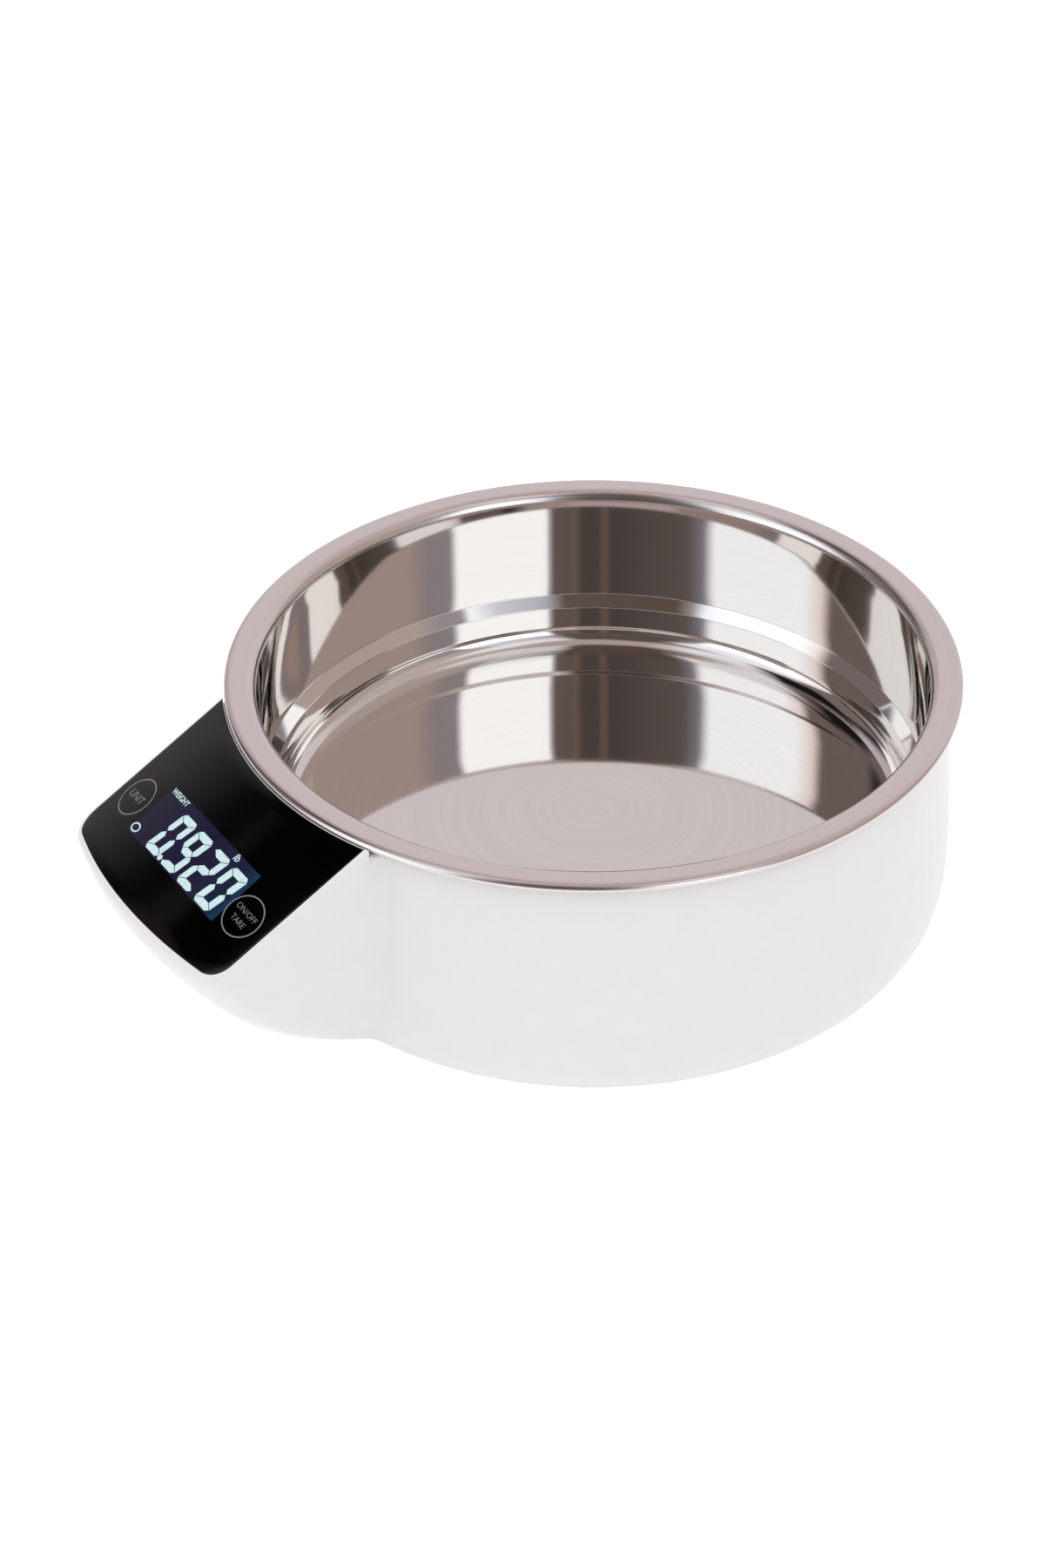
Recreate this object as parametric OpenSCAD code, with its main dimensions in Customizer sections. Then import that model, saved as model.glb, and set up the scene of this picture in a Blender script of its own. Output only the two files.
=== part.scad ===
// Kitchen scale with a lift-out steel bowl, millimetres.
// The origin is on the bowl's axis at the table, +Z is up and the display tongue points to -Y.

/* [Bowl] */
// Outer radius of the bowl over its rolled edge
bowl_r = 100; // [92:1:110]
// Depth from the top of the flange to the bowl's floor
bowl_depth = 47.5; // [45:0.5:55]
// Width of the flat flange
flange_w = 7.5; // [6:0.5:9]
// Radius of the rolled edge
bead_r = 1; // [0.9:0.1:1.3]
// Thickness of the steel
sheet_t = 0.7; // [0.5:0.1:0.9]
// Radius of the bend from flange to wall
edge_r = 1.3; // [1:0.1:2]
// How far the wall narrows from the flange to the step
wall_taper = 0.7; // [0.3:0.1:1.5]
// Depth of the pressed step below the flange
step_depth = 34.5; // [25:0.5:35]
// Height of the pressed step
step_h = 3.4; // [2:0.2:4]
// How far the pressed step goes in
step_in = 1.6; // [1:0.1:2.5]
// Width of the corner between wall and floor
corner_w = 7.5; // [5:0.5:9]
// Height of the corner between wall and floor
corner_h = 5; // [4:0.5:6]

/* [Housing] */
// How far the bowl's flange reaches past the housing's top edge
rim_overhang = 3.7; // [2.5:0.1:3.7]
// How much wider the housing is at its belly
body_swell = 1.6; // [0.6:0.1:2.6]
// Height of the belly above the table
belly_z = 37.6; // [32:0.2:44]
// Radius of the flat underside
foot_ring_r = 70; // [69:0.5:76]
// Thickness of the housing wall
shell_t = 2.6; // [2:0.1:2.8]
// Gap between the rolled edge and the top of the housing
rim_lift = 1.5; // [1.3:0.1:3]
// Radial gap between the rolled edge and the display tongue
rim_gap = 0.6; // [0.5:0.1:1.2]

/* [Display tongue] */
// How far the tongue reaches past the bowl's edge
tongue_reach = 43.4; // [41:0.2:48]
// Width of the tongue
tongue_w = 83; // [81:0.5:90]
// Corner radius of the tongue, seen from above
tongue_corner_r = 8; // [6:0.5:12]
// Slope of the display
slope_deg = 29.5; // [26:0.5:31]
// Radius of the crosswise arch of the display
crown_r = 205; // [190:5:300]
// Depth of the display surface below the flange at the bowl's edge
tongue_drop = 1.5; // [1.2:0.1:2.5]
// Thickness of the tongue's walls
tongue_t = 2.2; // [1.8:0.1:2.6]
// Half width of the tongue where it meets the underside
keel_half = 26; // [22:0.5:30]
// Width of the white border round the lens
border_w = 1.2; // [0.8:0.1:2]
// Width of the ledge that carries the lens
ledge_w = 2.5; // [2:0.1:3]
// Thickness of the ledge that carries the lens
ledge_t = 2; // [1.5:0.1:2.5]

/* [Display] */
// Thickness of the lens
lens_t = 1.8; // [1.4:0.1:2.2]
// Thickness of the foam gasket under the lens
gasket_t = 0.3; // [0.2:0.1:0.5]
// Distance of the key row from the bowl's edge
key_row = 24; // [23:0.2:26]
// Distance of each touch key from the middle
key_x = 31; // [30:0.2:31.6]
// Width of the readout glass
glass_w = 50; // [48:0.5:50.5]
// Height of the readout glass along the slope
glass_l = 24; // [22:0.5:26]
// Thickness of the readout glass
glass_t = 2.2; // [1.8:0.1:2.6]
// Thickness of the backlight
backlight_t = 2.4; // [1.8:0.1:3]
// Wall of the readout frame
frame_wall = 1.6; // [1.2:0.1:1.7]
// How far the readout lies up the slope from the key row
glass_up = 1.2; // [0:0.2:2]
// Width of the circuit board
board_w = 70; // [69:0.5:72]
// Length of the circuit board along the slope
board_l = 32; // [31:0.5:33]
// Thickness of the circuit board
board_t = 1.2; // [0.8:0.1:1.6]
// Radius of the touch springs
key_spring_r = 3.6; // [2.8:0.2:3.8]
// Wire diameter of the touch springs
key_wire = 0.5; // [0.4:0.1:0.7]

/* [Weighing works] */
// Radius of the weighing platform
platform_r = 62; // [56:1:68]
// Thickness of the weighing platform's disc
platform_t = 2.4; // [2:0.1:3]
// Height of the platform's stiffening rim
platform_rim_h = 1; // [0.8:0.1:1.5]
// Travel before the platform's rim meets the deck
overload_gap = 1.1; // [1.1:0.1:1.4]
// Thickness of the silicone pads
pad_t = 0.7; // [0.5:0.1:1]
// Radius of the silicone pads
pad_r = 5; // [3:0.5:6]
// Thickness of the deck under the platform
deck_t = 2; // [1.6:0.1:2.4]
// Length of the load cell
cell_l = 75; // [74:0.5:78]
// Width of the load cell
cell_w = 12.7; // [12:0.1:14]
// Height of the load cell
cell_h = 12.7; // [12:0.1:13]
// Distance between the two screws at each end of the load cell
cell_pitch = 15; // [14:0.2:16]
// Distance of the outer screw from the load cell's end
cell_inset = 4; // [3.8:0.1:5]
// Radius of the load cell's screws
cell_screw_r = 1.95; // [1.5:0.05:2]
// Gap above the load cell, under the deck
cell_headroom = 1.3; // [1.1:0.1:2]
// Thickness of the steel spacer under the load cell
mount_t = 2; // [1.5:0.1:3]
// Height of the pad that carries the spacer
cell_pad_h = 2.8; // [2.4:0.1:4]
// How far the screws go into the load cell
cell_thread = 9; // [6:0.5:10]
// Thickness of the silicone over the strain gauges
seal_t = 0.8; // [0.4:0.1:1]

/* [Base] */
// Height of the feet below the base
foot_h = 1.5; // [1:0.1:3]
// Radius of the feet
foot_r = 6; // [5:0.5:7]
// Depth of the feet's seats
foot_seat = 1; // [0.6:0.1:1.4]
// Thickness of the base plate
base_t = 3.2; // [3:0.1:3.6]
// Thickness of the ledge that the base plate meets
base_ledge_t = 2.3; // [2:0.1:3]
// Number of screws in the base
base_screw_count = 6; // [4:1:8]
// Number of screws in the deck
deck_screw_count = 5; // [3:1:6]
// Radius of a self-tapping screw
tap_r = 1.4; // [1.2:0.05:1.5]
// Distance of the self-tapping screws from the edge that they hold
screw_inset = 3.6; // [3.2:0.1:4]
// Height of the bosses that take the self-tapping screws
boss_h = 9; // [8:0.5:10]

/* [Batteries] */
// Distance from the load cell to the battery compartment
cell_to_bay = 14.6; // [12:0.2:16]
// Radius of a battery
battery_r = 5.25; // [5:0.05:5.3]
// Length of a battery
battery_l = 44.5; // [43:0.1:45]
// Room for a contact at each end of a battery
contact_room = 2.4; // [2.2:0.1:3]
// Gap round each battery
battery_gap = 0.6; // [0.4:0.1:0.8]
// Wall of the battery compartment
bay_wall = 1.6; // [1.2:0.1:2]
// Thickness of the battery door
door_t = 1.8; // [1.5:0.1:2]
// Width of the step that the door closes against
door_lip = 1.8; // [1.5:0.1:2.2]
// Gap round the door
door_gap = 0.35; // [0.3:0.05:0.5]
// Radius of the door's hinge pins
pin_r = 0.8; // [0.7:0.05:0.9]
// Thickness of the contact plates
plate_t = 0.35; // [0.3:0.05:0.5]

/* [Leads] */
// Diameter of the load cell's lead
cell_lead_d = 2.6; // [2:0.1:3]
// Diameter of a battery lead
battery_lead_d = 1.4; // [1:0.1:1.6]

/* [Hidden] */
$fn = 96;
fine = 180;
eps = 0.01;
snug = 0.3;
skin = 0.02;

// Heights, from the table up
base_z = foot_h;
base_top_z = base_z + base_t;
cell_pad_z = base_top_z + cell_pad_h;
cell_z = cell_pad_z + mount_t;
cell_top_z = cell_z + cell_h;
deck_z = cell_top_z + cell_headroom;
deck_top_z = deck_z + deck_t;
platform_z = deck_top_z + overload_gap;
platform_top_z = platform_z + platform_rim_h + platform_t;
bowl_z = platform_top_z + pad_t;
rim_z = bowl_z + sheet_t + bowl_depth;
body_top_z = rim_z - 2 * bead_r - rim_lift;

// Radii of the round body
body_top_r = bowl_r - rim_overhang;
belly_r = body_top_r + body_swell;
wall_r = bowl_r - flange_w - edge_r;
deck_ledge_w = 6;
deck_ledge_h = 2.5;
deck_r = body_top_r - shell_t - 0.4;
deck_screw_ring = deck_r - screw_inset;
base_r = foot_ring_r - 1.8;
base_open_r = base_r - 7;
base_screw_ring = base_r - screw_inset;
foot_ring = base_screw_ring - foot_r - 3.2;

// How the body and the tongue curve in towards the table: a higher rise keeps the side upright
// for longer, a higher turn makes the lower edge rounder
body_rise = 5;
body_turn = 2;
tongue_rise = 1.6;
tongue_turn = 1.4;
keel_rise = 2;
keel_turn = 1.6;
keel_z = base_z + 1.1;

// Screws: clear is the gap in a through hole, bite the gap in a pilot hole
clear = 0.2;
bite = 0.05;
tap_head_r = 2.6;
tap_head_h = 1.5;
cell_head_r = 3.4;
cell_head_h = 1.8;
cell_seat_h = 2.2;
cell_clear = 0.15;
free_screw_x = [cell_l / 2 - cell_inset, cell_l / 2 - cell_inset - cell_pitch];
cell_end_l = cell_pitch + 2 * cell_inset;
free_mid_x = cell_l / 2 - cell_end_l / 2;
seal_gap = 1.35;
csk_r = cell_screw_r * 1.8;
csk_h = csk_r - cell_screw_r;
spacer_h = platform_z + platform_rim_h - cell_top_z;

// The display tongue
slope_z = rim_z - tongue_drop - key_row * tan(slope_deg);
slope_y = -(bowl_r + key_row);
tongue_r = bowl_r + tongue_reach;
lens_back_r = bowl_r + rim_gap + border_w;
glass_sag = crown_r - sqrt(crown_r * crown_r - pow(glass_w / 2, 2));
glass_top = -lens_t - glass_sag - snug;
board_top = glass_top - glass_t - backlight_t;
tongue_top_z = slope_z - 12.5;
board_hole_x = board_w / 2 - 4;
board_hole_y = board_l / 2 - 4;
board_tap_r = 0.95;
post_r = 2.6;
post_pilot_l = 7;
strip_w = 2.2;
socket_x = [-14, 13];
socket_l = 5;
socket_h = 5;

// The battery bay
bay_l = battery_l + 2 * contact_room;
bay_w = 4 * battery_r + 3 * battery_gap;
bay_y = cell_w / 2 + cell_to_bay;
door_top_z = base_z + door_t;
battery_z = door_top_z + battery_gap + battery_r;
bay_roof_z = battery_z + battery_r + battery_gap;
battery_y = [bay_y + battery_gap + battery_r, bay_y + 2 * battery_gap + 3 * battery_r];
hinge_r = pin_r + 0.35;
hinge_y = bay_y + bay_w + door_lip;
hinge_z = base_z + hinge_r + 0.1;
pin_l = 2.2;
door_w = bay_l + 2 * door_lip;
tag_w = 3;
tag_t = 0.4;
tag_l = plate_t + bay_wall + 2.5;

// The leads: the slot that they pass, and the points of their routes
slot_w = 34;
slot_h = 6;
slot_z = base_top_z + 11;
cell_lead_z = cell_z + cell_h / 2;
cell_lead_low = base_top_z + cell_lead_d / 2 + snug;
cell_lead_x = socket_x[0];
function towards_slot(start_y, share) = start_y - share * (belly_r + start_y);
cell_route = [
    [-22, -cell_w / 2 - 0.1, cell_lead_z], [-22, -8.5, cell_lead_z], [-22, -11, cell_lead_z],
    [-21, -17, 11], [-19, -26, cell_lead_low + 1], [-17, -36, cell_lead_low],
    [-15, towards_slot(-36, 0.16), cell_lead_low + 0.5], [-14, towards_slot(-36, 0.32), 9],
    [cell_lead_x, towards_slot(-36, 0.47), 11], [cell_lead_x, towards_slot(-36, 0.65), 14],
    [cell_lead_x, 11.9 - belly_r, slot_z + 2], [cell_lead_x, 1.9 - belly_r, slot_z + 3],
    [cell_lead_x, -5.1 - belly_r, slot_z + 9],
    under_socket(cell_lead_x, 22), under_socket(cell_lead_x, 10), under_socket(cell_lead_x, 0.15)];
battery_lead_low = base_top_z + battery_lead_d / 2 + snug;

// ---- shapes used more than once ----

// A convex curve from full width at the top to the base width at the bottom
function swell(z, top_z, low_z, wide, narrow, rise, turn) =
    let (s = min(1, max(0, (top_z - z) / (top_z - low_z))))
    narrow + (wide - narrow) * pow(1 - pow(s, rise), 1 / turn);

// Heights that crowd together towards the bottom
function levels(low, high, n) = [for (k = [0:n]) low + (high - low) * pow(k / n, 1.9)];

// Radius of the round body at a height, and the same for its inner face
function body_rad(z) =
    z > belly_z
        ? belly_r - body_swell * (z - belly_z) / (body_top_z - belly_z)
        : swell(z, belly_z, base_z, belly_r, foot_ring_r, body_rise, body_turn);
function body_inner_rad(z) =
    z > belly_z
        ? body_rad(z) - shell_t
        : swell(z, belly_z, base_top_z + base_ledge_t, belly_r - shell_t, foot_ring_r - shell_t,
            body_rise, body_turn);

// Reach and half width of the tongue at a height, inset by a wall
function reach_at(z, inset) =
    swell(z, tongue_top_z, keel_z + inset, tongue_r - inset, foot_ring_r - inset, tongue_rise, tongue_turn);
function half_at(z, inset) =
    swell(z, belly_z, keel_z + inset, tongue_w / 2 - inset, keel_half - inset, keel_rise, keel_turn);

// Plan outline of the tongue: straight sides, rounded corners and a front arc round the bowl's axis
function tongue_plan(reach, half, corner, back) =
    let (
        cx = half - corner,
        cy = sqrt(pow(reach - corner, 2) - cx * cx),
        turn = atan2(cy, cx),
        side = concat(
            [for (k = [0:6]) let (a = turn * k / 6) [cx + corner * cos(a), -cy - corner * sin(a)]],
            [for (k = [1:8]) let (a = turn + (90 - turn) * k / 8) [reach * cos(a), -reach * sin(a)]])
    )
    concat(
        [[half, -back]], side,
        [for (k = [len(side) - 2:-1:0]) [-side[k][0], side[k][1]]],
        [[-half, -back]]);

// Plan outline of the display, inset from the tongue's edge, with its back edge round the bowl
function display_plan(inset, back_r) =
    let (
        half = tongue_w / 2 - inset,
        corner = tongue_corner_r - min(inset, 3),
        front = tongue_plan(tongue_r - inset, half, corner, sqrt(back_r * back_r - half * half)),
        swing = asin(half / back_r)
    )
    concat(front, [for (k = [1:15]) let (a = -90 - swing + 2 * swing * k / 16) back_r * [cos(a), sin(a)]]);

// Points of a path moved sideways by d
function path_normal(p, k) =
    let (a = p[max(0, k - 1)], b = p[min(len(p) - 1, k + 1)], d = b - a)
    [-d[1], d[0]] / norm(d);
function offset_path(p, d) = [for (k = [0:len(p) - 1]) p[k] + d * path_normal(p, k)];
function backwards(p) = [for (k = [len(p) - 1:-1:0]) p[k]];

// Distance of the tongue's rounded corner along its bisector at a height, with a little to spare
function corner_at(z, inset, corner, bisector) =
    let (cx = half_at(z, inset) - corner, cy = sqrt(pow(reach_at(z, inset) - corner, 2) - cx * cx))
    cx * cos(bisector) + cy * sin(bisector) + corner + 0.3;

// A profile of [x, z] points carried on outwards by its last slope, then straight up
function carried_up(p) =
    let (n = len(p) - 1, d = p[n] - p[n - 1], last = p[n] + d / d[0])
    concat(p, [last, [last[0], 2 * rim_z]]);

// A block with a flat back far to the left, whose right-hand face has that profile
module faced_block(p) {
    left = -2 * tongue_r;
    rotate([90, 0, 0])
        linear_extrude(4 * tongue_r, center = true)
            polygon(concat([[left, p[0][1]]], carried_up(p), [[left, 2 * rim_z]]));
}

// The tongue as a solid block that reaches well above the display, inset by a wall
module tongue_block(inset) {
    low = keel_z + inset;
    corner = tongue_corner_r - min(inset, 3);
    bisector = 38;
    reach_z = levels(low, tongue_top_z, 9);
    half_z = levels(low, belly_z, 8);
    corner_z = levels(low - 0.7, tongue_top_z - 1, 7);
    intersection() {
        linear_extrude(2 * rim_z)
            polygon(tongue_plan(tongue_r - inset, tongue_w / 2 - inset, corner, keel_half));
        rotate_extrude($fn = fine)
            polygon(concat(
                [[0, low]], carried_up([for (z = reach_z) [reach_at(z, inset), z]]), [[0, 2 * rim_z]]));
        intersection_for (side = [0, 1])
            mirror([side, 0, 0]) faced_block([for (z = half_z) [half_at(z, inset), z]]);
        intersection_for (side = [0, 1])
            mirror([side, 0, 0])
                rotate([0, 0, -bisector])
                    faced_block([for (z = corner_z) [corner_at(max(z, low), inset, corner, bisector), z]]);
    }
}

// Places its children on the sloped display: X across, Y up the slope, Z out of the surface
module on_slope() {
    translate([0, slope_y, slope_z]) rotate([slope_deg, 0, 0]) children();
}

// Everything under the arched display surface, lowered by a depth
module under_crown(depth) {
    on_slope()
        translate([0, 0, -crown_r])
            rotate([90, 0, 0])
                cylinder(h = 4 * tongue_w, r = crown_r - depth, center = true, $fn = fine);
}

// A sheet between two depths under the display surface, cut to an outline
module crowned_sheet(from, to, inset, back_r) {
    difference() {
        intersection() {
            under_crown(from);
            linear_extrude(2 * rim_z) polygon(display_plan(inset, back_r));
        }
        under_crown(to);
    }
}

// The round body without its hollow, or a smaller one inside its wall
module body_block(inset = 0) {
    path = [for (z = levels(base_z, belly_z, 16)) [body_rad(z) - inset, z]];
    cap_r = shell_t / 2;
    cap = [for (a = [0:15:90])
        [body_top_r - inset - cap_r + cap_r * cos(a), body_top_z - cap_r + cap_r * sin(a)]];
    rotate_extrude($fn = fine) polygon(concat([[0, base_z]], path, cap, [[0, body_top_z]]));
}

module body_hollow() {
    floor_z = base_top_z + base_ledge_t;
    path = [for (z = levels(floor_z, belly_z, 16)) [body_inner_rad(z), z]];
    mouth_r = body_top_r - shell_t;
    rotate_extrude($fn = fine)
        polygon(concat([[0, floor_z]], path, [[mouth_r, body_top_z], [mouth_r, rim_z], [0, rim_z]]));
}

module ring_of(count, radius, turn = 0) {
    for (k = [0:count - 1]) rotate([0, 0, turn + 360 * k / count]) translate([radius, 0, 0]) children();
}

// A pan-head screw, head up, its seat at z = 0
module pan_screw(shank_r, shank_l, head_r, head_h) {
    difference() {
        union() {
            translate([0, 0, -shank_l]) cylinder(h = shank_l, r = shank_r, $fn = 32);
            cylinder(h = head_h, r = head_r, $fn = 32);
        }
        cross_recess(head_r, head_h);
    }
}

module cross_recess(head_r, head_h) {
    depth = head_h * 0.6;
    for (a = [0, 90])
        rotate([0, 0, a])
            translate([-head_r * 0.6, -head_r * 0.12, head_h - depth])
                cube([head_r * 1.2, head_r * 0.24, depth + eps]);
}

// A point on the smooth curve through the points p, between p[i] and p[i + 1]
function curve_at(p, i, t) =
    let (
        n = len(p) - 1,
        a = p[max(0, i - 1)],
        b = p[i],
        c = p[min(n, i + 1)],
        d = p[min(n, i + 2)]
    )
    0.5 * (2 * b + (c - a) * t + (2 * a - 5 * b + 4 * c - d) * t * t + (3 * b - a - 3 * c + d) * t * t * t);
function smooth(p, n) = [for (i = [0:len(p) - 2]) for (k = [0:n - 1]) curve_at(p, i, k / n), p[len(p) - 1]];
function unit(v) = v / norm(v);
function heading(p, k) = unit(p[min(len(p) - 1, k + 1)] - p[max(0, k - 1)]);

// A round tube swept along the points p; side_on is a direction that the path never takes
module tube(p, r, side_on, sides = 8) {
    rings = [for (k = [0:len(p) - 1])
        let (t = heading(p, k), u = unit(cross(side_on, t)), v = cross(t, u))
        for (j = [0:sides - 1]) p[k] + r * (cos(360 * j / sides) * u + sin(360 * j / sides) * v)];
    last = (len(p) - 1) * sides;
    faces = concat(
        [[for (j = [0:sides - 1]) j]],
        [for (k = [0:len(p) - 2]) for (j = [0:sides - 1])
            let (a = k * sides + j, b = k * sides + (j + 1) % sides)
            [a, a + sides, b + sides, b]],
        [[for (j = [sides - 1:-1:0]) last + j]]);
    polyhedron(rings, faces);
}

// A coil spring standing on z = 0, from radius r0 to r1
module coil(r0, r1, height, wire, turns) {
    steps = round(turns * 14);
    p = [for (k = [0:steps])
        let (f = k / steps, r = r0 + (r1 - r0) * f, a = 360 * turns * f)
        [r * cos(a), r * sin(a), wire / 2 + (height - wire) * f]];
    tube(p, wire / 2, [0, 0, 1], 6);
}

// ---- bowl and weighing works ----

module bowl() {
    step_r = wall_r - wall_taper;
    low_r = step_r - step_in;
    foot_wall_r = low_r - 0.4;
    inner = concat(
        [[bowl_r - bead_r, 0], [bowl_r - flange_w, 0]],
        [for (a = [15:15:90]) [bowl_r - flange_w - edge_r * sin(a), -edge_r * (1 - cos(a))]],
        [for (f = [0:1 / 6:1.01]) [step_r - step_in * (1 - cos(180 * f)) / 2, -step_depth - step_h * f]],
        [for (a = [0:10:90]) [
            foot_wall_r - corner_w * (1 - cos(a)),
            -bowl_depth + corner_h * (1 - sin(a))]],
        [[0, -bowl_depth]]);
    color("lightsteelblue")
        translate([0, 0, rim_z]) {
            rotate_extrude($fn = fine) polygon(concat(inner, backwards(offset_path(inner, sheet_t))));
            rotate_extrude($fn = fine)
                translate([bowl_r - bead_r, -bead_r])
                    circle(r = bead_r, $fn = 24);
        }
}

module weighing_platform() {
    color("whitesmoke")
        difference() {
            union() {
                translate([0, 0, platform_z + platform_rim_h])
                    rotate_extrude($fn = fine)
                        polygon([
                            [0, 0], [platform_r, 0], [platform_r, platform_t - 1],
                            [platform_r - 1, platform_t], [0, platform_t]]);
                difference() {
                    translate([0, 0, platform_z])
                        cylinder(h = platform_rim_h + eps, r = platform_r, $fn = fine);
                    translate([0, 0, platform_z - 1])
                        cylinder(h = platform_rim_h + 1, r = platform_r - 2, $fn = fine);
                }
            }
            for (x = free_screw_x) {
                translate([x, 0, platform_z - 1])
                    cylinder(h = platform_top_z, r = cell_screw_r + clear, $fn = 32);
                translate([x, 0, platform_top_z - csk_h])
                    cylinder(h = csk_h + eps, r1 = cell_screw_r + clear, r2 = csk_r + clear, $fn = 48);
            }
        }
}

module platform_pads() {
    color("gainsboro")
        translate([0, 0, platform_top_z])
            ring_of(4, platform_r - 2.5 * pad_r, 45) cylinder(h = pad_t, r = pad_r, $fn = 48);
}

module platform_spacer() {
    half = cell_w / 2;
    color("silver")
        difference() {
            translate([0, 0, cell_top_z])
                union() {
                    for (x = free_screw_x) translate([x, 0, 0]) cylinder(h = spacer_h, r = half, $fn = 64);
                    translate([free_mid_x - cell_pitch / 2, -half, 0]) cube([cell_pitch, cell_w, spacer_h]);
                }
            for (x = free_screw_x)
                translate([x, 0, cell_top_z - 1])
                    cylinder(h = spacer_h + 2, r = cell_screw_r + clear, $fn = 32);
        }
}

module platform_screws() {
    length = platform_top_z - cell_top_z + cell_thread;
    color("darkgray")
        for (x = free_screw_x)
            translate([x, 0, platform_top_z])
                difference() {
                    union() {
                        translate([0, 0, -csk_h])
                            cylinder(h = csk_h, r1 = cell_screw_r, r2 = csk_r, $fn = 48);
                        translate([0, 0, -length])
                            cylinder(h = length - csk_h + eps, r = cell_screw_r, $fn = 32);
                    }
                    translate([0, 0, -csk_h]) cross_recess(csk_r, csk_h);
                }
}

// A bending beam, thinned by two bores that run into each other
module load_cell() {
    bore_r = cell_h * 0.34;
    bore_x = bore_r * 0.8;
    color("lightgray")
        difference() {
            translate([-cell_l / 2, -cell_w / 2, cell_z]) cube([cell_l, cell_w, cell_h]);
            for (x = [-bore_x, bore_x])
                translate([x, 0, cell_z + cell_h / 2])
                    rotate([90, 0, 0])
                        cylinder(h = cell_w + 2, r = bore_r, center = true, $fn = 48);
            for (x = free_screw_x, side = [-1, 1])
                translate([side * x, 0, cell_z - 1])
                    cylinder(h = cell_h + 2, r = cell_screw_r + cell_clear, $fn = 32);
        }
}

module gauge_seal() {
    seal_l = 2 * (free_mid_x - cell_pitch / 2 - cell_w / 2 - seal_gap);
    seal_w = cell_w - 2;
    color("white")
        for (z = [cell_z - seal_t, cell_top_z])
            translate([-seal_l / 2, -seal_w / 2, z]) cube([seal_l, seal_w, seal_t]);
}

module load_cell_mount() {
    color("slategray")
        difference() {
            translate([-cell_l / 2, -cell_w / 2, cell_pad_z]) cube([cell_end_l, cell_w, mount_t]);
            for (x = free_screw_x)
                translate([-x, 0, cell_pad_z - 1])
                    cylinder(h = mount_t + 2, r = cell_screw_r + cell_clear, $fn = 32);
        }
}

module load_cell_screws() {
    seat_z = base_z + cell_seat_h;
    color("darkgray")
        for (x = free_screw_x)
            translate([-x, 0, seat_z])
                rotate([180, 0, 0])
                    pan_screw(cell_screw_r, cell_z + cell_thread - seat_z, cell_head_r, cell_head_h);
}

// ---- housing, deck and base ----

module outer_housing() {
    color("white")
        difference() {
            union() {
                difference() {
                    union() {
                        body_block();
                        intersection() {
                            tongue_block(0);
                            under_crown(0);
                        }
                    }
                    body_hollow();
                    tongue_hollow();
                }
                deck_ledge();
                base_bosses();
            }
            rim_relief();
            lens_seat();
            base_recess();
            cable_slot();
            deck_pilots();
        }
}

// The space in the tongue under its lens ledge, clear of the round wall and the board posts
module tongue_hollow() {
    wall_inset = shell_t * 0.4;
    difference() {
        intersection() {
            tongue_block(tongue_t);
            under_crown(lens_t + gasket_t + ledge_t);
        }
        body_block(wall_inset);
        translate([0, 0, body_top_z - shell_t]) cylinder(h = rim_z, r = body_top_r - wall_inset, $fn = fine);
        board_posts();
    }
}

module board_posts() {
    on_slope()
        for (x = [-board_hole_x, board_hole_x], y = [-board_hole_y, board_hole_y])
            translate([x, y + glass_up, board_top - board_t - skin - rim_z])
                difference() {
                    cylinder(h = rim_z, r = post_r, $fn = 32);
                    translate([0, 0, rim_z - post_pilot_l])
                        cylinder(h = post_pilot_l + 1, r = board_tap_r - 0.1, $fn = 24);
                }
}

// Room for the bowl's rolled edge
module rim_relief() {
    translate([0, 0, body_top_z]) cylinder(h = rim_z, r = bowl_r + rim_gap, $fn = fine);
}

module lens_seat() {
    crowned_sheet(-2, lens_t + gasket_t, border_w - 0.1, lens_back_r - 0.1);
    crowned_sheet(0, lens_t + gasket_t + ledge_t + 1, border_w + ledge_w, lens_back_r + ledge_w);
}

module deck_ledge() {
    ledge_z = deck_z - deck_ledge_h;
    root = 0.5;
    rotate_extrude($fn = fine)
        polygon([
            [deck_r - deck_ledge_w, ledge_z], [body_inner_rad(ledge_z) + root, ledge_z - 3],
            [body_inner_rad(deck_z) + root, deck_z], [deck_r - deck_ledge_w, deck_z]]);
    ring_of(deck_screw_count, deck_screw_ring, 90)
        translate([0, 0, deck_z - boss_h]) cylinder(h = boss_h - deck_ledge_h / 2, r = tap_r * 2, $fn = 32);
}

module deck_pilots() {
    ring_of(deck_screw_count, deck_screw_ring, 90)
        translate([0, 0, deck_z - boss_h + 1]) cylinder(h = boss_h, r = tap_r + bite, $fn = 24);
}

module base_bosses() {
    ring_of(base_screw_count, base_screw_ring, 30)
        translate([0, 0, base_top_z]) cylinder(h = boss_h, r = tap_r + 1.8, $fn = 32);
}

module base_recess() {
    translate([0, 0, base_z - 1]) cylinder(h = base_t + 1, r = base_r + snug, $fn = fine);
    translate([0, 0, base_z]) cylinder(h = base_t + base_ledge_t + 1, r = base_open_r, $fn = fine);
    ring_of(base_screw_count, base_screw_ring, 30)
        translate([0, 0, base_z]) cylinder(h = base_t + boss_h - 1, r = tap_r + bite, $fn = 24);
}

// The way through the round wall for the leads
module cable_slot() {
    translate([-slot_w / 2, -belly_r - 0.6, slot_z]) cube([slot_w, shell_t + deck_ledge_w + 4, slot_h]);
}

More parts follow.
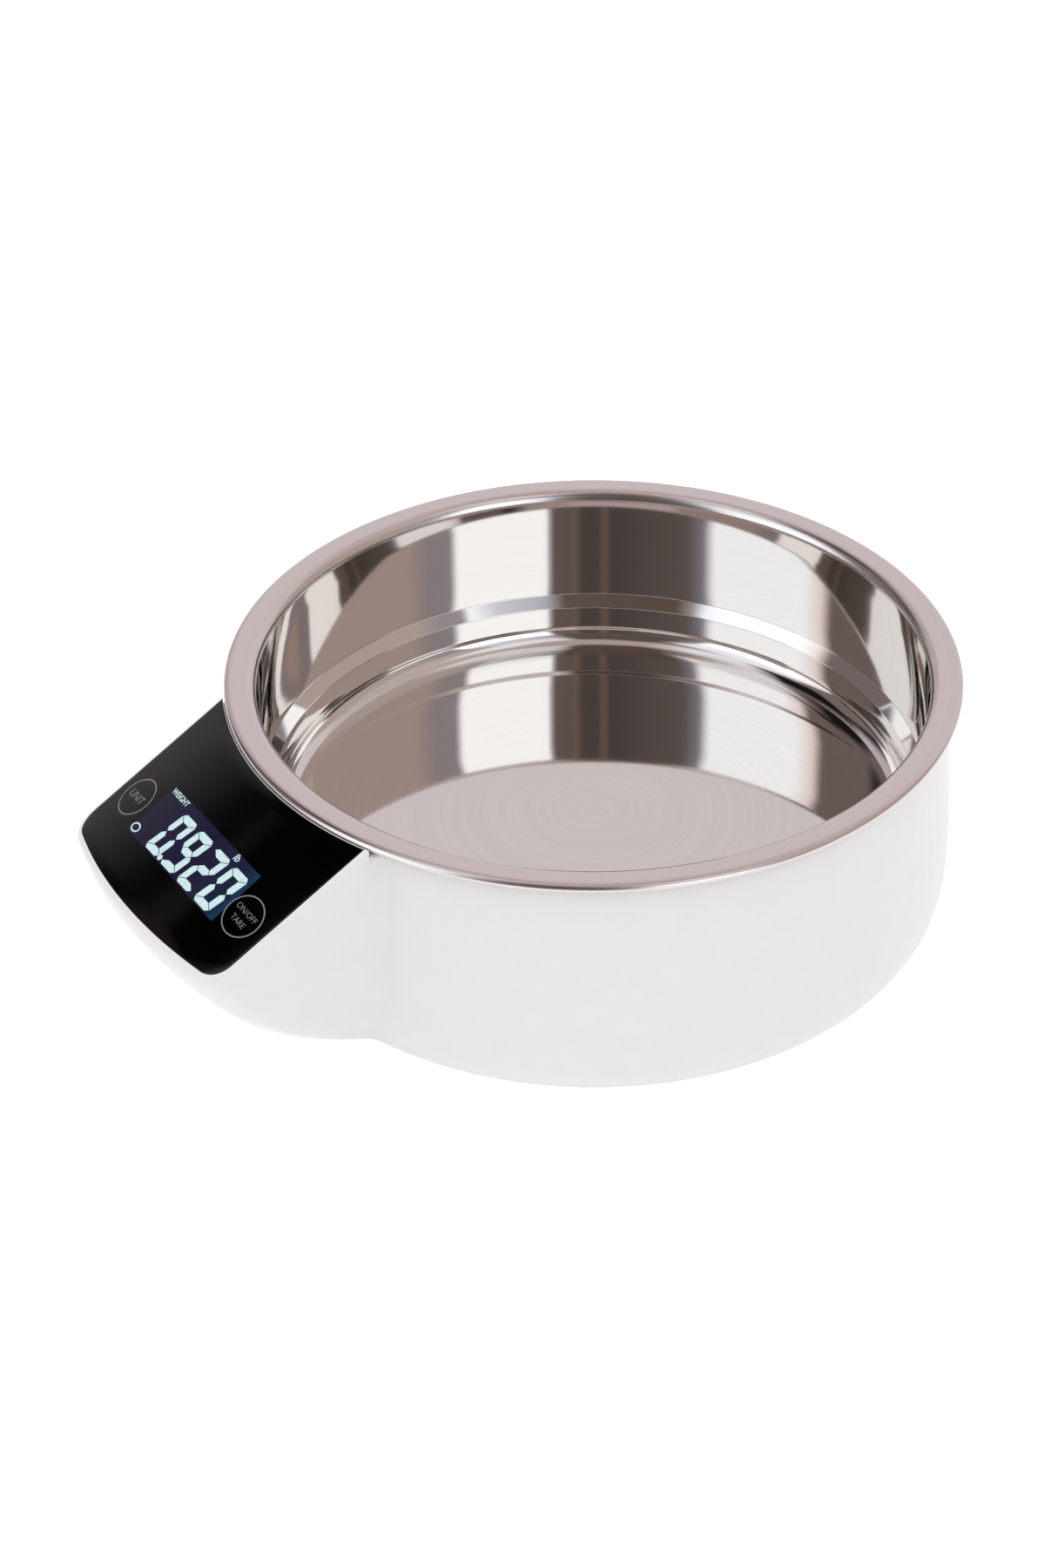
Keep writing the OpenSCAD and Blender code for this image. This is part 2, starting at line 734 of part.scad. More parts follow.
module inner_deck() {
    slot_r = cell_w / 2 + 2;
    color("white")
        difference() {
            translate([0, 0, deck_z]) cylinder(h = deck_t, r = deck_r, $fn = fine);
            for (x = free_screw_x)
                translate([x, 0, deck_z - 1]) cylinder(h = deck_t + 2, r = slot_r, $fn = 64);
            translate([free_mid_x - cell_pitch / 2, -slot_r, deck_z - 1])
                cube([cell_pitch, 2 * slot_r, deck_t + 2]);
            ring_of(deck_screw_count, deck_screw_ring, 90)
                translate([0, 0, deck_z - 1]) cylinder(h = deck_t + 2, r = tap_r + clear, $fn = 32);
        }
}

module deck_screws() {
    color("silver")
        ring_of(deck_screw_count, deck_screw_ring, 90)
            translate([0, 0, deck_top_z]) pan_screw(tap_r, deck_t + boss_h - 2, tap_head_r, tap_head_h);
}

module base_cover() {
    pad_rim = 1.5;
    color("white")
        difference() {
            union() {
                translate([0, 0, base_z])
                    rotate_extrude($fn = fine)
                        polygon([[0, 0], [base_r - 0.5, 0], [base_r, 0.5], [base_r, base_t], [0, base_t]]);
                translate([-cell_l / 2 - pad_rim, -cell_w / 2 - pad_rim, base_top_z - eps])
                    cube([cell_end_l + 2 * pad_rim, cell_w + 2 * pad_rim, cell_pad_h + eps]);
                translate([-bay_l / 2 - bay_wall, bay_y - bay_wall, base_z + 1])
                    cube([bay_l + 2 * bay_wall, bay_w + 2 * bay_wall, bay_roof_z + bay_wall - base_z - 1]);
            }
            battery_bay();
            door_seat();
            foot_seats();
            for (x = free_screw_x)
                translate([-x, 0, base_z - 1]) {
                    cylinder(h = cell_z, r = cell_screw_r + clear, $fn = 32);
                    cylinder(h = cell_seat_h + 1, r = cell_head_r + snug, $fn = 32);
                }
            ring_of(base_screw_count, base_screw_ring, 30)
                translate([0, 0, base_z - 1]) {
                    cylinder(h = base_t + 2, r = tap_r + clear, $fn = 32);
                    cylinder(h = tap_head_h + snug + 1, r = tap_head_r + snug, $fn = 32);
                }
        }
}

module battery_bay() {
    translate([-bay_l / 2, bay_y, base_z]) cube([bay_l, bay_w, bay_roof_z - base_z]);
    for (y = battery_y)
        translate([bay_l / 2 + bay_wall / 2, y, battery_z])
            cube([bay_wall + 1, tag_w + 0.4, tag_t + 0.4], center = true);
}

// The step that the door closes against, its hinge sockets and the nail notch
module door_seat() {
    translate([-door_w / 2 - door_gap, bay_y - door_lip - door_gap, base_z - 1])
        cube([door_w + 2 * door_gap, hinge_y - bay_y + door_lip + door_gap, door_t + 1]);
    translate([0, hinge_y, hinge_z])
        rotate([0, 90, 0]) {
            cylinder(h = door_w + 2 * door_gap, r = hinge_r + door_gap, center = true, $fn = 48);
            cylinder(h = door_w + 2 * pin_l + 2 * door_gap, r = pin_r + 0.1, center = true, $fn = 32);
        }
    translate([-door_w / 2 - door_gap, hinge_y - hinge_r - door_gap, base_z - 1])
        cube([door_w + 2 * door_gap, 2 * hinge_r + 2 * door_gap, hinge_z - base_z + 1]);
    translate([0, bay_y - door_lip - 1, base_z - 1]) cylinder(h = 2.2, r = 5, $fn = 48);
}

module foot_seats() {
    ring_of(4, foot_ring, 45)
        translate([0, 0, base_z - 1]) cylinder(h = foot_seat + 1, r = foot_r + 0.15, $fn = 48);
}

module base_screws() {
    color("silver")
        ring_of(base_screw_count, base_screw_ring, 30)
            translate([0, 0, base_z + tap_head_h + snug])
                rotate([180, 0, 0])
                    pan_screw(tap_r, base_t + boss_h - 4, tap_head_r, tap_head_h);
}

module feet() {
    color("dimgray")
        ring_of(4, foot_ring, 45)
            rotate_extrude($fn = 48)
                polygon([
                    [0, 0], [foot_r - 0.6, 0], [foot_r, 0.6],
                    [foot_r, foot_h + foot_seat], [0, foot_h + foot_seat]]);
}

// ---- display ----

module display_lens() {
    color("black") crowned_sheet(0, lens_t, border_w, lens_back_r);
}

module lens_gasket() {
    color("dimgray")
        difference() {
            crowned_sheet(lens_t + skin, lens_t + gasket_t - skin, border_w + 0.2, lens_back_r + 0.2);
            linear_extrude(2 * rim_z) polygon(display_plan(border_w + ledge_w, lens_back_r + ledge_w));
        }
}

// A flat piece of the sloped stack, a skin's gap short of what it lies on
module slope_box(w, l, z, h) {
    on_slope() translate([-w / 2, glass_up - l / 2, z + skin]) cube([w, l, h - skin]);
}

module lcd_module() {
    color("midnightblue") slope_box(glass_w, glass_l, glass_top - glass_t, glass_t);
}

module backlight() {
    color("lightcyan") slope_box(glass_w - 0.4, glass_l - 2 * strip_w - 0.4, board_top, backlight_t);
}

module contact_strips() {
    length = glass_w - 4;
    color("lightpink")
        on_slope()
            for (up = [-(glass_l - strip_w) / 2, (glass_l - strip_w) / 2])
                translate([-length / 2, glass_up + up - strip_w / 2, board_top + skin])
                    cube([length, strip_w, backlight_t - skin]);
}

module lcd_frame() {
    stack_h = backlight_t + glass_t;
    in_w = glass_w + 0.4;
    in_l = glass_l + 0.4;
    color("whitesmoke")
        difference() {
            slope_box(in_w + 2 * frame_wall, in_l + 2 * frame_wall, board_top, stack_h - 0.4);
            slope_box(in_w, in_l, board_top - 1, stack_h + 2);
        }
}

module control_board() {
    color("darkgreen")
        difference() {
            slope_box(board_w, board_l, board_top - board_t, board_t);
            on_slope()
                for (x = [-board_hole_x, board_hole_x], y = [-board_hole_y, board_hole_y])
                    translate([x, y + glass_up, board_top - board_t - 1])
                        cylinder(h = board_t + 2, r = board_tap_r + clear, $fn = 32);
        }
}

// Chip, capacitor, crystal and the two lead sockets on the underside
module board_parts() {
    color("dimgray")
        on_slope()
            translate([0, glass_up, board_top - board_t - skin]) {
                rotate_extrude($fn = 48) polygon([[0, 0], [7, 0], [6, -1], [3.5, -1.8], [0, -2]]);
                translate([18, -7, -7]) cylinder(h = 7, r = 2.5, $fn = 32);
                translate([-19, -8, -2]) cube([10, 4, 2]);
                for (k = [0:3]) translate([-10 + 6 * k, 10, -0.8]) cube([2, 1.25, 0.8]);
                for (x = socket_x) translate([x - 4.5, 0, -socket_h]) cube([9, socket_l, socket_h]);
            }
}

// A place under a lead socket, in the part's own frame
function under_socket(x, down) =
    let (u = glass_up + socket_l / 2, n = board_top - board_t - socket_h - down)
    [x, slope_y + u * cos(slope_deg) - n * sin(slope_deg), slope_z + u * sin(slope_deg) + n * cos(slope_deg)];

module key_springs() {
    sag = crown_r - sqrt(crown_r * crown_r - pow(key_x + key_spring_r, 2));
    h = -board_top - lens_t - sag - 0.1;
    color("gold")
        on_slope()
            for (side = [-1, 1])
                translate([side * key_x, 0, board_top])
                    coil(key_spring_r - key_wire / 2, key_spring_r * 0.7, h, key_wire, 3.5);
}

module board_screws() {
    color("silver")
        on_slope()
            for (x = [-board_hole_x, board_hole_x], y = [-board_hole_y, board_hole_y])
                translate([x, y + glass_up, board_top + skin])
                    pan_screw(board_tap_r - 0.15, board_t + post_pilot_l - 2, 1.8, 1.2);
}

// ---- batteries, door and leads ----

module battery_door() {
    edge = hinge_y - bay_y + door_lip;
    color("white")
        difference() {
            union() {
                translate([-door_w / 2, bay_y - door_lip, base_z])
                    cube([door_w, edge - hinge_r, door_t - skin]);
                translate([0, hinge_y, hinge_z])
                    rotate([0, 90, 0]) {
                        cylinder(h = door_w, r = hinge_r, center = true, $fn = 48);
                        cylinder(h = door_w + 2 * pin_l, r = pin_r, center = true, $fn = 32);
                    }
                translate([-door_w / 2, hinge_y - hinge_r - 0.5, base_z + 0.1])
                    cube([door_w, hinge_r + 0.5, door_t - 0.4]);
            }
            for (k = [0:4])
                translate([-9, bay_y + 4 + 2 * k, base_z - 1]) cube([18, 0.9, 1.4]);
        }
}

module battery() {
    nub_h = 0.9;
    nub_r = 1.9;
    body_l = battery_l - nub_h;
    rotate([0, 90, 0])
        translate([0, 0, -battery_l / 2])
            rotate_extrude($fn = 64)
                polygon([
                    [0, 0], [battery_r - 0.5, 0], [battery_r, 0.5], [battery_r, body_l - 0.5],
                    [battery_r - 0.5, body_l], [nub_r, body_l], [nub_r, battery_l], [0, battery_l]]);
}

module battery_left() {
    color("orange") translate([0, battery_y[0], battery_z]) battery();
}

module battery_right() {
    color("orange") translate([0, battery_y[1], battery_z]) mirror([1, 0, 0]) battery();
}

// The coil at the flat end of each battery
module battery_springs() {
    h = contact_room - plate_t - 0.25;
    color("silver")
        for (k = [0, 1])
            translate([(k == 0 ? -1 : 1) * (bay_l / 2 - plate_t - 0.05), battery_y[k], battery_z])
                rotate([0, k == 0 ? 90 : -90, 0])
                    coil(3.6, 2.2, h, 0.5, 3);
}

// One plate bridges the two batteries; at the other end each has its own, with a solder tag
module battery_plates() {
    plate_h = 2 * battery_r - 2;
    plate_z = battery_z - plate_h / 2;
    color("silver") {
        translate([-bay_l / 2, bay_y + 0.8, plate_z]) cube([plate_t, bay_w - 1.6, plate_h]);
        for (y = battery_y) {
            translate([bay_l / 2 - plate_t, y - plate_h / 2, plate_z]) cube([plate_t, plate_h, plate_h]);
            translate([bay_l / 2 - plate_t, y - tag_w / 2, battery_z - tag_t / 2])
                cube([tag_l, tag_w, tag_t]);
        }
    }
}

module sensor_cable() {
    color("lightgray") tube(smooth(cell_route, 4), cell_lead_d / 2, [1, 0, 0]);
}

// The two battery leads run side by side
function battery_route(k) =
    let (dx = k * (battery_lead_d + 0.5), x = bay_l / 2 - plate_t + tag_l + 0.15)
    [[x, battery_y[k], battery_z], [x + 1.5, battery_y[k], battery_z], [x + 3, battery_y[k], battery_z],
        [38 + dx, battery_y[k] - 6, battery_lead_low + 2],
        [42 + dx, 14, battery_lead_low], [43 + dx, 0, battery_lead_low], [41 + dx, -14, battery_lead_low],
        [34 + dx, -28, battery_lead_low],
        [25 + dx, towards_slot(-28, 0.2), battery_lead_low + 0.5], [17 + dx, towards_slot(-28, 0.37), 8.5],
        [13 + dx, towards_slot(-28, 0.515), 10.5], [12 + dx, towards_slot(-28, 0.69), 13],
        [12 + dx, 9.9 - belly_r, slot_z + 2], [12 + dx, 0.9 - belly_r, slot_z + 3],
        [12 + dx, -5.1 - belly_r, slot_z + 9], under_socket(12 + dx, 22), under_socket(12 + dx, 10),
        under_socket(12 + dx, 0.15)];

module battery_leads() {
    color("firebrick")
        for (k = [0, 1]) tube(smooth(battery_route(k), 3), battery_lead_d / 2, [0.3, 0.2, 1]);
}

bowl();
weighing_platform();
platform_pads();
platform_spacer();
platform_screws();
load_cell();
gauge_seal();
load_cell_mount();
load_cell_screws();
outer_housing();
inner_deck();
deck_screws();
base_cover();
base_screws();
feet();
display_lens();
lens_gasket();
lcd_module();
lcd_frame();
backlight();
contact_strips();
control_board();
board_parts();
key_springs();
board_screws();
battery_door();
battery_left();
battery_right();
battery_springs();
battery_plates();
sensor_cable();
battery_leads();
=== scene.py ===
"""Kitchen scale: a deep steel bowl that lifts out of a white housing with a sloped display."""

from math import asin, atan2, cos, degrees, dist, pi, radians, sin, sqrt, tan

import bmesh
import bpy
from mathutils import Euler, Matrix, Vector


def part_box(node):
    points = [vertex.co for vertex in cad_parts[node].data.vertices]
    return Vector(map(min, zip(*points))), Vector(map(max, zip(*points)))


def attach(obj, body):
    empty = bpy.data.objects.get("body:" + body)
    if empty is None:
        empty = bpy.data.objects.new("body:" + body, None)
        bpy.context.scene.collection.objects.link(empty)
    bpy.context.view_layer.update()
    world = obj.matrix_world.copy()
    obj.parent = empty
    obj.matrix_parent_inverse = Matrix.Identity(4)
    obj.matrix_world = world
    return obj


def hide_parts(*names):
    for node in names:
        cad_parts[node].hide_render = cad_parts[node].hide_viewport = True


bl_info = {
    "name": "Kitchen Scale",
    "version": (1, 0, 0),
    "blender": (4, 5, 0),
    "location": "3D View > Sidebar > Kitchen Scale",
    "description": "Shapes and finishes a kitchen scale with a lift-out steel bowl",
    "category": "Add Mesh",
}

MM = 0.001
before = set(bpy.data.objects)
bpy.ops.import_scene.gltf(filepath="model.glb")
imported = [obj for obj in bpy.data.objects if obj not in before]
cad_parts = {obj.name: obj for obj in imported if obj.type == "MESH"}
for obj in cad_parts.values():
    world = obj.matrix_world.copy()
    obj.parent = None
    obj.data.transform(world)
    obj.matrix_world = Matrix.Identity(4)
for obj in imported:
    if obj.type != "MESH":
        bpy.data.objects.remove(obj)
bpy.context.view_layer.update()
BOWL_LOW, BOWL_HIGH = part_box("bowl")
HOUSING_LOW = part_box("outer_housing")[0]
DECK_LOW, DECK_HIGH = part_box("inner_deck")


def length(name, text, millimetres):
    return bpy.props.FloatProperty(
        name=name, description=text, default=millimetres * MM, min=0, unit="LENGTH", precision=5
    )


def angle(name, text, degrees):
    return bpy.props.FloatProperty(
        name=name, description=text, default=radians(degrees), subtype="ANGLE"
    )


def color(name, text, default):
    return bpy.props.FloatVectorProperty(
        name=name, description=text, default=default, size=3, min=0, max=1, subtype="COLOR"
    )


# ---- settings ----


class BowlSettings(bpy.types.PropertyGroup):
    radius: length("Radius", "Outer radius of the rolled edge", BOWL_HIGH.x / MM)
    flange: length("Flange", "Width of the flat flange", 5.8)
    bead: length("Bead", "Radius of the rolled edge", 1.3)
    roll: length("Roll", "Width over which the flange turns down", 2.0)
    sheet: length("Sheet", "Thickness of the steel", 0.7)
    edge: length("Edge", "Radius between flange and wall", 3)
    taper: length("Taper", "How much the upper wall narrows", 0.7)
    step_depth: length("Step depth", "How far the step lies below the flange", 33.6)
    step_height: length("Step height", "Height of the pressed step", 3.1)
    step_in: length("Step in", "How far the step reaches in", 2.8)
    corner_width: length("Corner width", "Width of the curve between wall and floor", 7.5)
    corner_height: length("Corner height", "Height of the curve between wall and floor", 5.2)
    crown: length("Crown", "How far the floor rises towards its middle", 0.7)
    steel: color("Steel", "Colour of the steel", (0.815, 0.77, 0.745))


class HousingSettings(bpy.types.PropertyGroup):
    overhang: length("Overhang", "How far the flange reaches past the housing", 3.7)
    swell: length("Swell", "How much wider the belly is than the top edge", 1.6)
    belly_height: length("Belly height", "Height of the widest place", 37.6)
    ring_radius: length("Ring radius", "Radius of the ring that it stands in", 70)
    wall: length("Wall", "Thickness of the wall", 2.6)
    top_height: length("Top height", "Height of the top edge", 75.4)
    relief_radius: length("Relief radius", "Radius of the room for the rolled edge", 100.3)
    reach: length("Reach", "How far the display tongue reaches from the middle", 143.4)
    width: length("Width", "Width of the display tongue", 83)
    corner: length("Corner", "Radius of the tongue's corners", 8)
    keel: length("Keel", "Half width of the tongue at its foot", 26)
    crown: length("Crown", "Radius of the display's arch", 205)
    slope: angle("Slope", "Slope of the display", 29.5)
    border: length("Border", "White edge round the display", 1.2)
    lip: length("Lip", "White edge between the display and the bowl", 0.08)
    relief_drop: length("Relief drop", "How far the room for the rolled edge goes down", 0.25)
    rounding: length("Rounding", "Radius of the tongue's upper edge", 0.75)
    cap: length("Cap", "Radius of the round wall's top edge", 1.3)
    crease: length("Crease", "How softly the tongue runs into the round wall", 4)
    plastic: color("Plastic", "Colour of the housing", (0.865, 0.855, 0.855))


class DisplaySettings(bpy.types.PropertyGroup):
    lens: length("Lens", "Thickness of the lens", 1.8)
    fit: length("Fit", "Gap between the lens and its seat", 0.06)
    reading: bpy.props.StringProperty(
        name="Reading", description="Figures and point that the readout shows", default="0.920"
    )
    digit_height: length("Digit height", "Height of a figure", 13.8)
    digit_width: length("Digit width", "Width of a figure", 7.2)
    digit_pitch: length("Digit pitch", "Distance from figure to figure", 9.15)
    segment: length("Segment", "Width of a lit segment", 2.15)
    slant: angle("Slant", "Lean of the figures", 8.3)
    turn: angle("Turn", "How far the readout is turned on the lens", 0.8)
    key_offset: length("Key offset", "Distance of each key from the middle", 31)
    key_radius: length("Key radius", "Radius of a key's ring", 6.15)
    lit: color("Lit", "Colour of the lit segments", (0.62, 0.80, 0.83))
    dark: color("Dark", "Colour of the readout between the segments", (0.003, 0.003, 0.010))


class StudioSettings(bpy.types.PropertyGroup):
    distance: length("Distance", "Distance of the camera from the bowl's mouth", 1200)
    azimuth: angle("Azimuth", "Direction of the camera round the scale", 59.28)
    elevation: angle("Elevation", "Height of the camera above the table", 33.46)
    focal: bpy.props.FloatProperty(
        name="Focal length", description="Focal length in millimetres", default=101.79, min=1
    )
    exposure: bpy.props.FloatProperty(
        name="Light", description="Strength of the studio's light", default=1.0, min=0
    )


# ---- small helpers ----


def mesh_piece(name, verts, faces, finishes, body, of_face=None, crease=40):
    """A piece from points in metres, smooth apart from edges sharper than the crease angle."""
    mesh = bpy.data.meshes.new(name)
    mesh.from_pydata([tuple(v) for v in verts], [], faces)
    if of_face:
        mesh.polygons.foreach_set("material_index", of_face)
    return finish_piece(name, mesh, finishes, body, crease)


def finish_piece(name, mesh, finishes, body, crease=40):
    """Cleans a mesh, gives it its finishes and lets the piece ride on its body."""
    bm = bmesh.new()
    bm.from_mesh(mesh)
    bmesh.ops.remove_doubles(bm, verts=bm.verts, dist=2e-7)
    bmesh.ops.dissolve_degenerate(bm, edges=bm.edges, dist=1e-7)
    bmesh.ops.recalc_face_normals(bm, faces=bm.faces)
    bm.to_mesh(mesh)
    bm.free()
    if not mesh.polygons:
        raise RuntimeError(f"{name} has no faces")
    for made in finishes:
        mesh.materials.append(made)
    mesh.shade_smooth()
    mesh.set_sharp_from_angle(angle=radians(crease))
    piece = bpy.data.objects.new(name, mesh)
    bpy.context.scene.collection.objects.link(piece)
    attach(piece, body)
    return piece


def loft(rings, closed=True, wrap=True):
    """Quads between neighbouring rings of equally many points."""
    n, count = len(rings[0]), len(rings)
    verts = [p for ring in rings for p in ring]
    faces = []
    for i in range(count if wrap else count - 1):
        for k in range(n if closed else n - 1):
            a, b, j = i * n, (i + 1) % count * n, (k + 1) % n
            faces.append((a + k, a + j, b + j, b + k))
    return verts, faces


def spun(profile, segments):
    """Rings of a profile of (radius, height) points turned round the Z axis."""
    turns = [2 * pi * k / segments for k in range(segments)]
    return [[(r * cos(t), r * sin(t), z) for r, z in profile] for t in turns]


def arc(cx, cz, rx, rz, start, end, n):
    """The n + 1 points of an elliptical arc, angles in degrees."""
    turns = [radians(start + (end - start) * k / n) for k in range(n + 1)]
    return [(cx + rx * cos(t), cz + rz * sin(t)) for t in turns]


def quarter(steps):
    """The angles of a quarter turn, in equal steps."""
    return [radians(90 / steps * k) for k in range(steps + 1)]


def offset(path, d):
    """A path moved sideways by d."""
    out = []
    for k, p in enumerate(path):
        a, b = path[max(0, k - 1)], path[min(len(path) - 1, k + 1)]
        run = dist(a, b)
        out.append((p[0] - d * (b[1] - a[1]) / run, p[1] + d * (b[0] - a[0]) / run))
    return out


# ---- finishes ----


def node(tree, kind, inputs=None, **settings):
    """A shader node; an input is a value, or another node's output to link."""
    made = tree.nodes.new("ShaderNode" + kind)
    for key, value in settings.items():
        setattr(made, key, value)
    for key, value in (inputs or {}).items():
        if isinstance(value, bpy.types.NodeSocket):
            tree.links.new(value, made.inputs[key])
        else:
            made.inputs[key].default_value = value
    return made


def ramp(tree, fac, stops, blend="LINEAR"):
    """A colour ramp; stops are (place, tone)."""
    made = node(tree, "ValToRGB", {"Fac": fac})
    made.color_ramp.interpolation = blend
    points = made.color_ramp.elements
    while len(points) < len(stops):
        points.new(0.5)
    for point, (place, value) in zip(points, stops):
        point.position = place
        point.color = (*value, 1)
    return made.outputs["Color"]


def finish(name, base, roughness, **sockets):
    """A Principled material; returns it with its node tree and shader."""
    made = bpy.data.materials.new(name)
    made.use_nodes = True
    shader = made.node_tree.nodes["Principled BSDF"]
    shader.inputs["Base Color"].default_value = (*base, 1)
    shader.inputs["Roughness"].default_value = roughness
    for key, value in sockets.items():
        shader.inputs[key.replace("_", " ").title().replace("Ior", "IOR")].default_value = value
    made.diffuse_color = (*base, 1)
    return made, made.node_tree, shader


def object_place(tree, stretch=(1, 1, 1)):
    """Coordinates in metres that stay with the piece."""
    place = node(tree, "TexCoord").outputs["Object"]
    return node(tree, "Mapping", {"Vector": place, "Scale": stretch}).outputs["Vector"]


def share_along(tree, low, high):
    """Share of the way along X between two places."""
    split = node(tree, "SeparateXYZ", {0: node(tree, "TexCoord").outputs["Object"]})
    ends = {"Value": split.outputs["X"], "From Min": low, "From Max": high}
    return node(tree, "MapRange", ends).outputs[0]


def emboss(tree, shader, height, depth):
    """Relief of a depth in metres; returns its node."""
    made = node(tree, "Bump", {"Height": height, "Distance": depth})
    tree.links.new(made.outputs[0], shader.inputs["Normal"])
    return made


def round_place(tree, around, up, out):
    """Coordinates that run round the Z axis, up it and out from it."""
    split = node(tree, "SeparateXYZ", {0: node(tree, "TexCoord").outputs["Object"]})
    x, y, z = (split.outputs[k] for k in "XYZ")
    turn = node(tree, "Math", {0: y, 1: x}, operation="ARCTAN2").outputs[0]
    flat = node(tree, "CombineXYZ", {"X": x, "Y": y}).outputs[0]
    reach = node(tree, "VectorMath", {0: flat}, operation="LENGTH").outputs["Value"]
    parts = [
        node(tree, "Math", {0: value, 1: by}, operation="MULTIPLY").outputs[0]
        for value, by in ((turn, around), (z, up), (reach, out))
    ]
    return node(tree, "CombineXYZ", dict(zip("XYZ", parts))).outputs[0]


def vary(tree, shader, place, grain, dark, light, rough, depth, detail=3.0, spread=(0.35, 0.65)):
    """Lets one noise drive colour, roughness and relief; grain and depth in metres.

    Returns the relief's node.
    """
    noise = node(tree, "TexNoise", {"Vector": place, "Scale": 1 / grain, "Detail": detail})
    fac = noise.outputs["Fac"]
    tint = ramp(tree, fac, [(spread[0], dark), (spread[1], light)])
    tree.links.new(tint, shader.inputs["Base Color"])
    ends = {"From Min": 0.3, "From Max": 0.7, "To Min": rough[0], "To Max": rough[1]}
    gloss = node(tree, "MapRange", {"Value": fac, **ends})
    tree.links.new(gloss.outputs[0], shader.inputs["Roughness"])
    return emboss(tree, shader, fac, depth)


def shade(tone, by):
    """A tone made darker or lighter."""
    return tuple(c * by for c in tone)


def grained(name, tone, grain, rough, depth, contrast, stretch=(1, 1, 1), **sockets):
    """A finish of one tone with a fine grain; grain and depth in millimetres."""
    made, tree, shader = finish(name, tone, sum(rough) / 2, **sockets)
    place, dark = object_place(tree, stretch), shade(tone, contrast)
    vary(tree, shader, place, grain * MM, dark, tone, rough, depth * MM)
    return made


def turned_steel(name, tone, rough, depth, lines, aniso, contrast, wave):
    """Steel with fine lines round the bowl's axis.

    lines is their pitch up and out, depth their depth, and wave the height of the metal's slow
    unevenness, all in metres.
    """
    line_spread, wave_grain = 0.35, 38 * MM
    made, tree, shader = finish(name, tone, sum(rough) / 2, metallic=1.0, anisotropic=aniso)
    place, dark = round_place(tree, line_spread, 1 / lines[0], 1 / lines[1]), shade(tone, contrast)
    relief = vary(tree, shader, place, 1.0, dark, tone, rough, depth, 4.0, (0.3, 0.7))
    around = node(tree, "Tangent", direction_type="RADIAL", axis="Z")
    tree.links.new(around.outputs[0], shader.inputs["Tangent"])
    if wave:
        place = object_place(tree)
        noise = node(tree, "TexNoise", {"Vector": place, "Scale": 1 / wave_grain, "Detail": 0.0})
        swell = node(tree, "Bump", {"Height": noise.outputs["Fac"], "Distance": wave})
        tree.links.new(swell.outputs[0], relief.inputs["Normal"])
    return made


def banded(name, ends, bands, roughness, **sockets):
    """A finish in bands along X between two places; bands are (share, tone)."""
    made, tree, shader = finish(name, bands[0][1], roughness, **sockets)
    tone = ramp(tree, share_along(tree, *ends), bands, "CONSTANT")
    tree.links.new(tone, shader.inputs["Base Color"])
    noise = node(tree, "TexNoise", {"Vector": object_place(tree), "Scale": 2500.0})
    emboss(tree, shader, noise.outputs["Fac"], 0.01 * MM)
    return made


def dress(made, *names):
    """Gives CAD nodes their finish."""
    for name in names:
        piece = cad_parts[name]
        if not piece.material_slots:
            piece.data.materials.append(made)
        for place in piece.material_slots:
            place.material = made


# ---- bowl ----


def bowl_profile(s):
    """Inner face of the bowl from the middle of its floor to where its edge turns down.

    Gives the (radius, height) points and the kind of face between each two of them.
    """
    floor_steps, corner_steps, soft_steps, wall_steps, edge_steps = 20, 16, 5, 6, 8
    lower_taper, soft = 0.4 * MM, 0.4 * MM
    top, r = BOWL_HIGH.z, s.radius
    wall = r - s.flange - s.edge
    step = wall - s.taper
    low = step - s.step_in
    foot = low - lower_taper
    floor = BOWL_LOW.z + s.sheet
    flat = foot - s.corner_width
    points = [
        (flat * k / floor_steps, floor + s.crown * (1 - (k / floor_steps) ** 1.3))
        for k in range(floor_steps + 1)
    ]
    kinds = ["floor"] * floor_steps
    high = floor + s.corner_height
    points += arc(flat, high, s.corner_width, s.corner_height, -90, 0, corner_steps)[1:]
    kinds += ["corner"] * corner_steps
    lean = atan2(s.step_in, s.step_height)
    half = soft * tan(lean / 2)
    ledge, lean = top - s.step_depth, degrees(lean)
    lower = ledge - s.step_height - half
    points += arc(low + soft, lower, soft, soft, 180, 180 - lean, soft_steps)
    points += arc(step - soft, ledge + half, soft, soft, -lean, 0, soft_steps)
    kinds += ["wall"] + ["step"] * (2 * soft_steps + 1)
    rise = s.step_depth - s.edge
    points += [
        (step + s.taper * k / wall_steps, ledge + rise * k / wall_steps)
        for k in range(1, wall_steps + 1)
    ]
    kinds += ["wall"] * wall_steps
    points += arc(wall + s.edge, top - s.edge, s.edge, s.edge, 180, 90, edge_steps)[1:]
    points.append((r - s.roll, top))
    kinds += ["flange"] * (edge_steps + 1)
    return points, kinds


